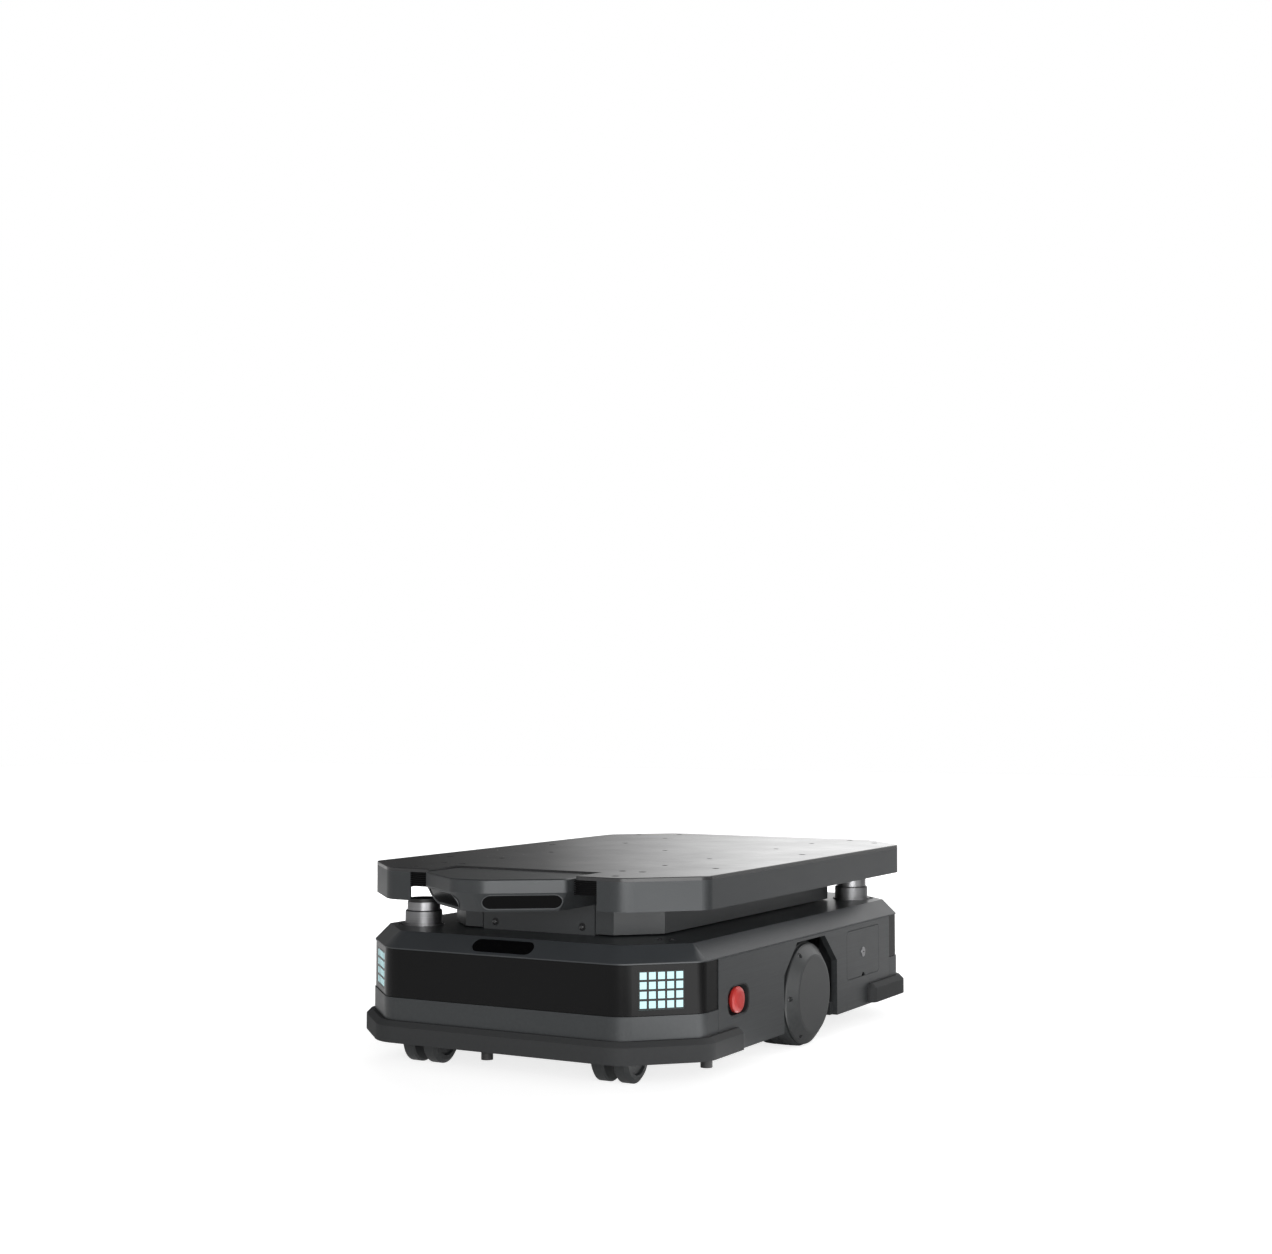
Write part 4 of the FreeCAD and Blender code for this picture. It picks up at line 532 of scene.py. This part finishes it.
turned_steel = brushed_of("turned_steel", (0.22, 0.22, 0.225), 0.42, (12.0, 12.0, 900.0),
                          bump=0.12, Metallic=1.0, dust=0.05)
cover(turned_steel, "lift_columns")
ram_chrome = brushed_of("ram_chrome", (0.26, 0.26, 0.265), 0.3, (10.0, 10.0, 700.0), bump=0.05,
                        Metallic=1.0, dust=0.0)
cover(ram_chrome, "lift_rams")
frame_coat = finish_of("frame_coat", (0.045, 0.048, 0.05), 0.4, grain=0.001, bump=0.15, dust=0.05)
cover(frame_coat, "lift_underframe", "sensor_pedestal")

# Socket screws in dished washers on the pedestal's front.
screw_zinc = finish_of("screw_zinc", (0.2, 0.2, 0.205), 0.35, grain=0.0006, bump=0.08, dust=0.0,
                       Metallic=1.0)
washer = [(0, 0, 0), (6.4, 0, 0), (6.4, 0.5, 0), (6.0, 1.0, 0), (5.4, 1.0, 0), (4.6, 0.3, 0),
          (0, 0.3, 0)]
head = [(0, 0.35, 0), (2.9, 0.35, 0), (2.9, 1.5, 0), (2.4, 2.0, 0), (1.3, 2.0, 1), (1.3, 0.8, 1),
        (0, 0.8, 0)]
forwards, screw_x, screw_level = (0, -1, 0), 83, 228.5
pedestal_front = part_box("sensor_pedestal")[0][1] * 1000
pedestal_places = [(side * screw_x, pedestal_front - seat_gap, screw_level) for side in (-1, 1)]
# The washers are near black: painted shade, the dark of a recess round each screw.
fitted("pedestal_washers_painted_shade", [turned(washer, place, forwards) for place in pedestal_places],
       screw_black_and_shade, "base")
fitted("pedestal_screws", [turned(head, place, forwards) for place in pedestal_places],
       screw_zinc, "base")

# Flat socket screws in the load plate's recesses.
plate_head = [(0, 0, 0), (4.6, 0, 0), (5.2, 1.2, 0), (4.9, 1.5, 0), (2.0, 1.5, 1), (2.0, 0.4, 1),
              (0, 0.4, 0)]
plate_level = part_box("load_plate")[1][2] * 1000
recess_depth = 2.5
recess_floor = plate_level - recess_depth + seat_gap
plate_screw_places = [(side * x, y) for side in (-1, 1) for x, y in (
    (260, -259), (260, 82), (260, 423), (190, -463), (190, -377), (153.5, -377), (190, 469))]
fitted("plate_screws",
       [turned(plate_head, (x, y, recess_floor), upwards) for x, y in plate_screw_places],
       screw_black_and_shade, "platform")
black_cap = finish_of("black_cap", (0.006, 0.006, 0.006), 0.45, grain=0.001, bump=0.1, dust=0.0)
cover(black_cap, "ram_brackets")

# Blackened steel inserts in the load plate's nine fixing holes, each an open cup. Their near black
# is partly the steel's own and partly painted shade that darkens the holes.
insert_black_and_shade = finish_of("insert_black_and_shade", (0.004, 0.004, 0.004), 0.7, grain=0.0006, bump=0.1,
                         dust=0.0, Specular_IOR_Level=0.1)
insert = [(0, -5.9, 0), (4.97, -5.9, 0), (4.97, -0.05, 0), (4.4, -0.05, 0), (4.4, -5.0, 0),
          (0, -5.0, 0)]
hole_center, hole_pitch, outer_half, inner_half = 52, 160, 298.5, 136
insert_places = [(0, hole_center)] + [
    (x, hole_center + y) for x in (-hole_pitch, hole_pitch)
    for y in (-outer_half, -inner_half, inner_half, outer_half)]
fitted("plate_inserts",
       [turned(insert, (x, y, plate_level), upwards) for x, y in insert_places],
       insert_black_and_shade, "platform")

plate_coat = finish_of("plate_coat", (0.03, 0.03, 0.031), 0.17, grain=0.003, bump=0.015, dust=0.0)
cover(plate_coat, "load_plate")
cover(powder_coat, "platform_skirt")
# The pod's coat is the anthracite powder coat made about a tenth lighter: painted light, for the
# light its faces catch.
pod_coat_painted_light = finish_of("pod_coat_painted_light", (0.04, 0.043, 0.045), 0.36, grain=0.0009, bump=0.14, dust=0.0,
                     Metallic=0.25, Specular_IOR_Level=0.45)
cover(pod_coat_painted_light, "sensor_pod")


# ---------------------------------------------------------------- drive wheels and casters
# Polyurethane tyres on cast hubs, a moulded cover over each hub, cast trailing arms with coil
# springs, and four twin-wheel swivel casters.

tyre_rubber = finish_of("tyre_rubber", (0.02, 0.022, 0.023), 0.5, grain=0.0008, bump=0.12,
                        dust=0.06, drift=0.08)
cover(tyre_rubber, "drive_tyre_right", "drive_tyre_left",
      *[n for n in nodes if n.startswith("caster_wheel")])
cast_alloy = finish_of("cast_alloy", (0.28, 0.285, 0.29), 0.45, grain=0.0018, bump=0.3,
                       Metallic=1.0)
cover(cast_alloy, "hub_motor_right", "hub_motor_left")
cast_iron = finish_of("cast_iron", (0.03, 0.031, 0.032), 0.55, grain=0.002, bump=0.4, dust=0.3)
cover(cast_iron, "swing_arm_right", "swing_arm_left",
      *[n for n in nodes if n.startswith("caster_fork")])
spring_wire = brushed_of("spring_wire", (0.2, 0.2, 0.21), 0.35, (200.0, 200.0, 200.0),
                         Metallic=1.0)


def coil(radius, wire, turns, center, low, high, steps=36, sides=10):
    """Points and faces of a round-wire coil about an upright line.

    The wire's middle is center + radius * (cos t, sin t), rising evenly from low to high over the
    turns. A point of the wire lies wire * (cos b * outward + sin b * across) from it, where outward
    is (cos t, sin t, 0) and across is square to it and to the wire. Both ends taper to a pole.
    """
    t = np.linspace(0, 2 * math.pi * turns, steps * turns + 1)
    t = np.concatenate([t[:1], t, t[-1:]])[:, None]
    thick = np.where((np.arange(len(t)) % (len(t) - 1)) > 0, wire, 0.0)[:, None]
    b = np.linspace(0, 2 * math.pi, sides, endpoint=False)[None, :]
    climb = math.atan2(high - low, 2 * math.pi * turns * radius)
    reach = radius + thick * np.cos(b)
    slide = thick * np.sin(b) * math.sin(climb)
    rise = low + (high - low) * t / t[-1]
    points = np.stack([center[0] + reach * np.cos(t) - slide * np.sin(t),
                       center[1] + reach * np.sin(t) + slide * np.cos(t),
                       rise - thick * np.sin(b) * math.cos(climb)], axis=-1)
    return points.reshape(-1, 3), grid_faces(len(t), sides)


# Each spring stands on its arm's tail and presses on the seat above.
coil_radius, wire_radius, coil_turns = 6.0, 2.0, 5
spring_x, spring_y, spring_low, spring_high = 213.0, -45.0, 104.3, 147.7
for word, side in (("right", 1), ("left", -1)):
    x, y = spring_x * side, spring_y
    wound = coil(coil_radius, wire_radius, coil_turns, (x, y), spring_low, spring_high)
    spring = fitted("arm_spring_" + word, [wound], spring_wire, None)
    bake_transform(spring)
    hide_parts("suspension_spring_" + word)

hub_shell = finish_of("hub_shell", (0.034, 0.036, 0.037), 0.38, grain=0.0008, bump=0.15,
                      dust=0.15)
cover(hub_shell, "hub_cover_right", "hub_cover_left")

# Six cap screws sunk in the cone of each hub cover.
axle_level, screw_ring, recess_x = 90, 79, 305.52
cap = [(0, 0, 0), (3.2, 0, 0), (3.2, 2.2, 0), (2.8, 2.6, 0), (1.6, 2.6, 1), (1.6, 1.0, 1),
       (0, 1.0, 0)]
circle = [(screw_ring * math.cos(a), axle_level + screw_ring * math.sin(a))
          for a in np.radians(np.arange(0, 360, 60))]
for word, side in (("right", 1), ("left", -1)):
    fitted("hub_cover_screws_" + word,
           [turned(cap, (side * recess_x, y, z), (side, 0, 0)) for y, z in circle],
           screw_zinc, "drive_wheel_" + word)


# ---------------------------------------------------------------- stop buttons and locks
# Satin red polycarbonate mushroom heads, pushed in from the side, in the black cups, and plated
# quarter-turn locks, one in each service flap.

stop_red = finish_of("stop_red", (0.46, 0.03, 0.026), 0.36, grain=0.003, bump=0.03, dust=0.0,
                     Subsurface_Weight=0.1)
cover(stop_red, "estop_button_right", "estop_button_left")
lock_plating = brushed_of("lock_plating", (0.3, 0.3, 0.31), 0.3, (60.0, 60.0, 60.0), Metallic=1.0)
cover(lock_plating, "door_lock_right", "door_lock_left")
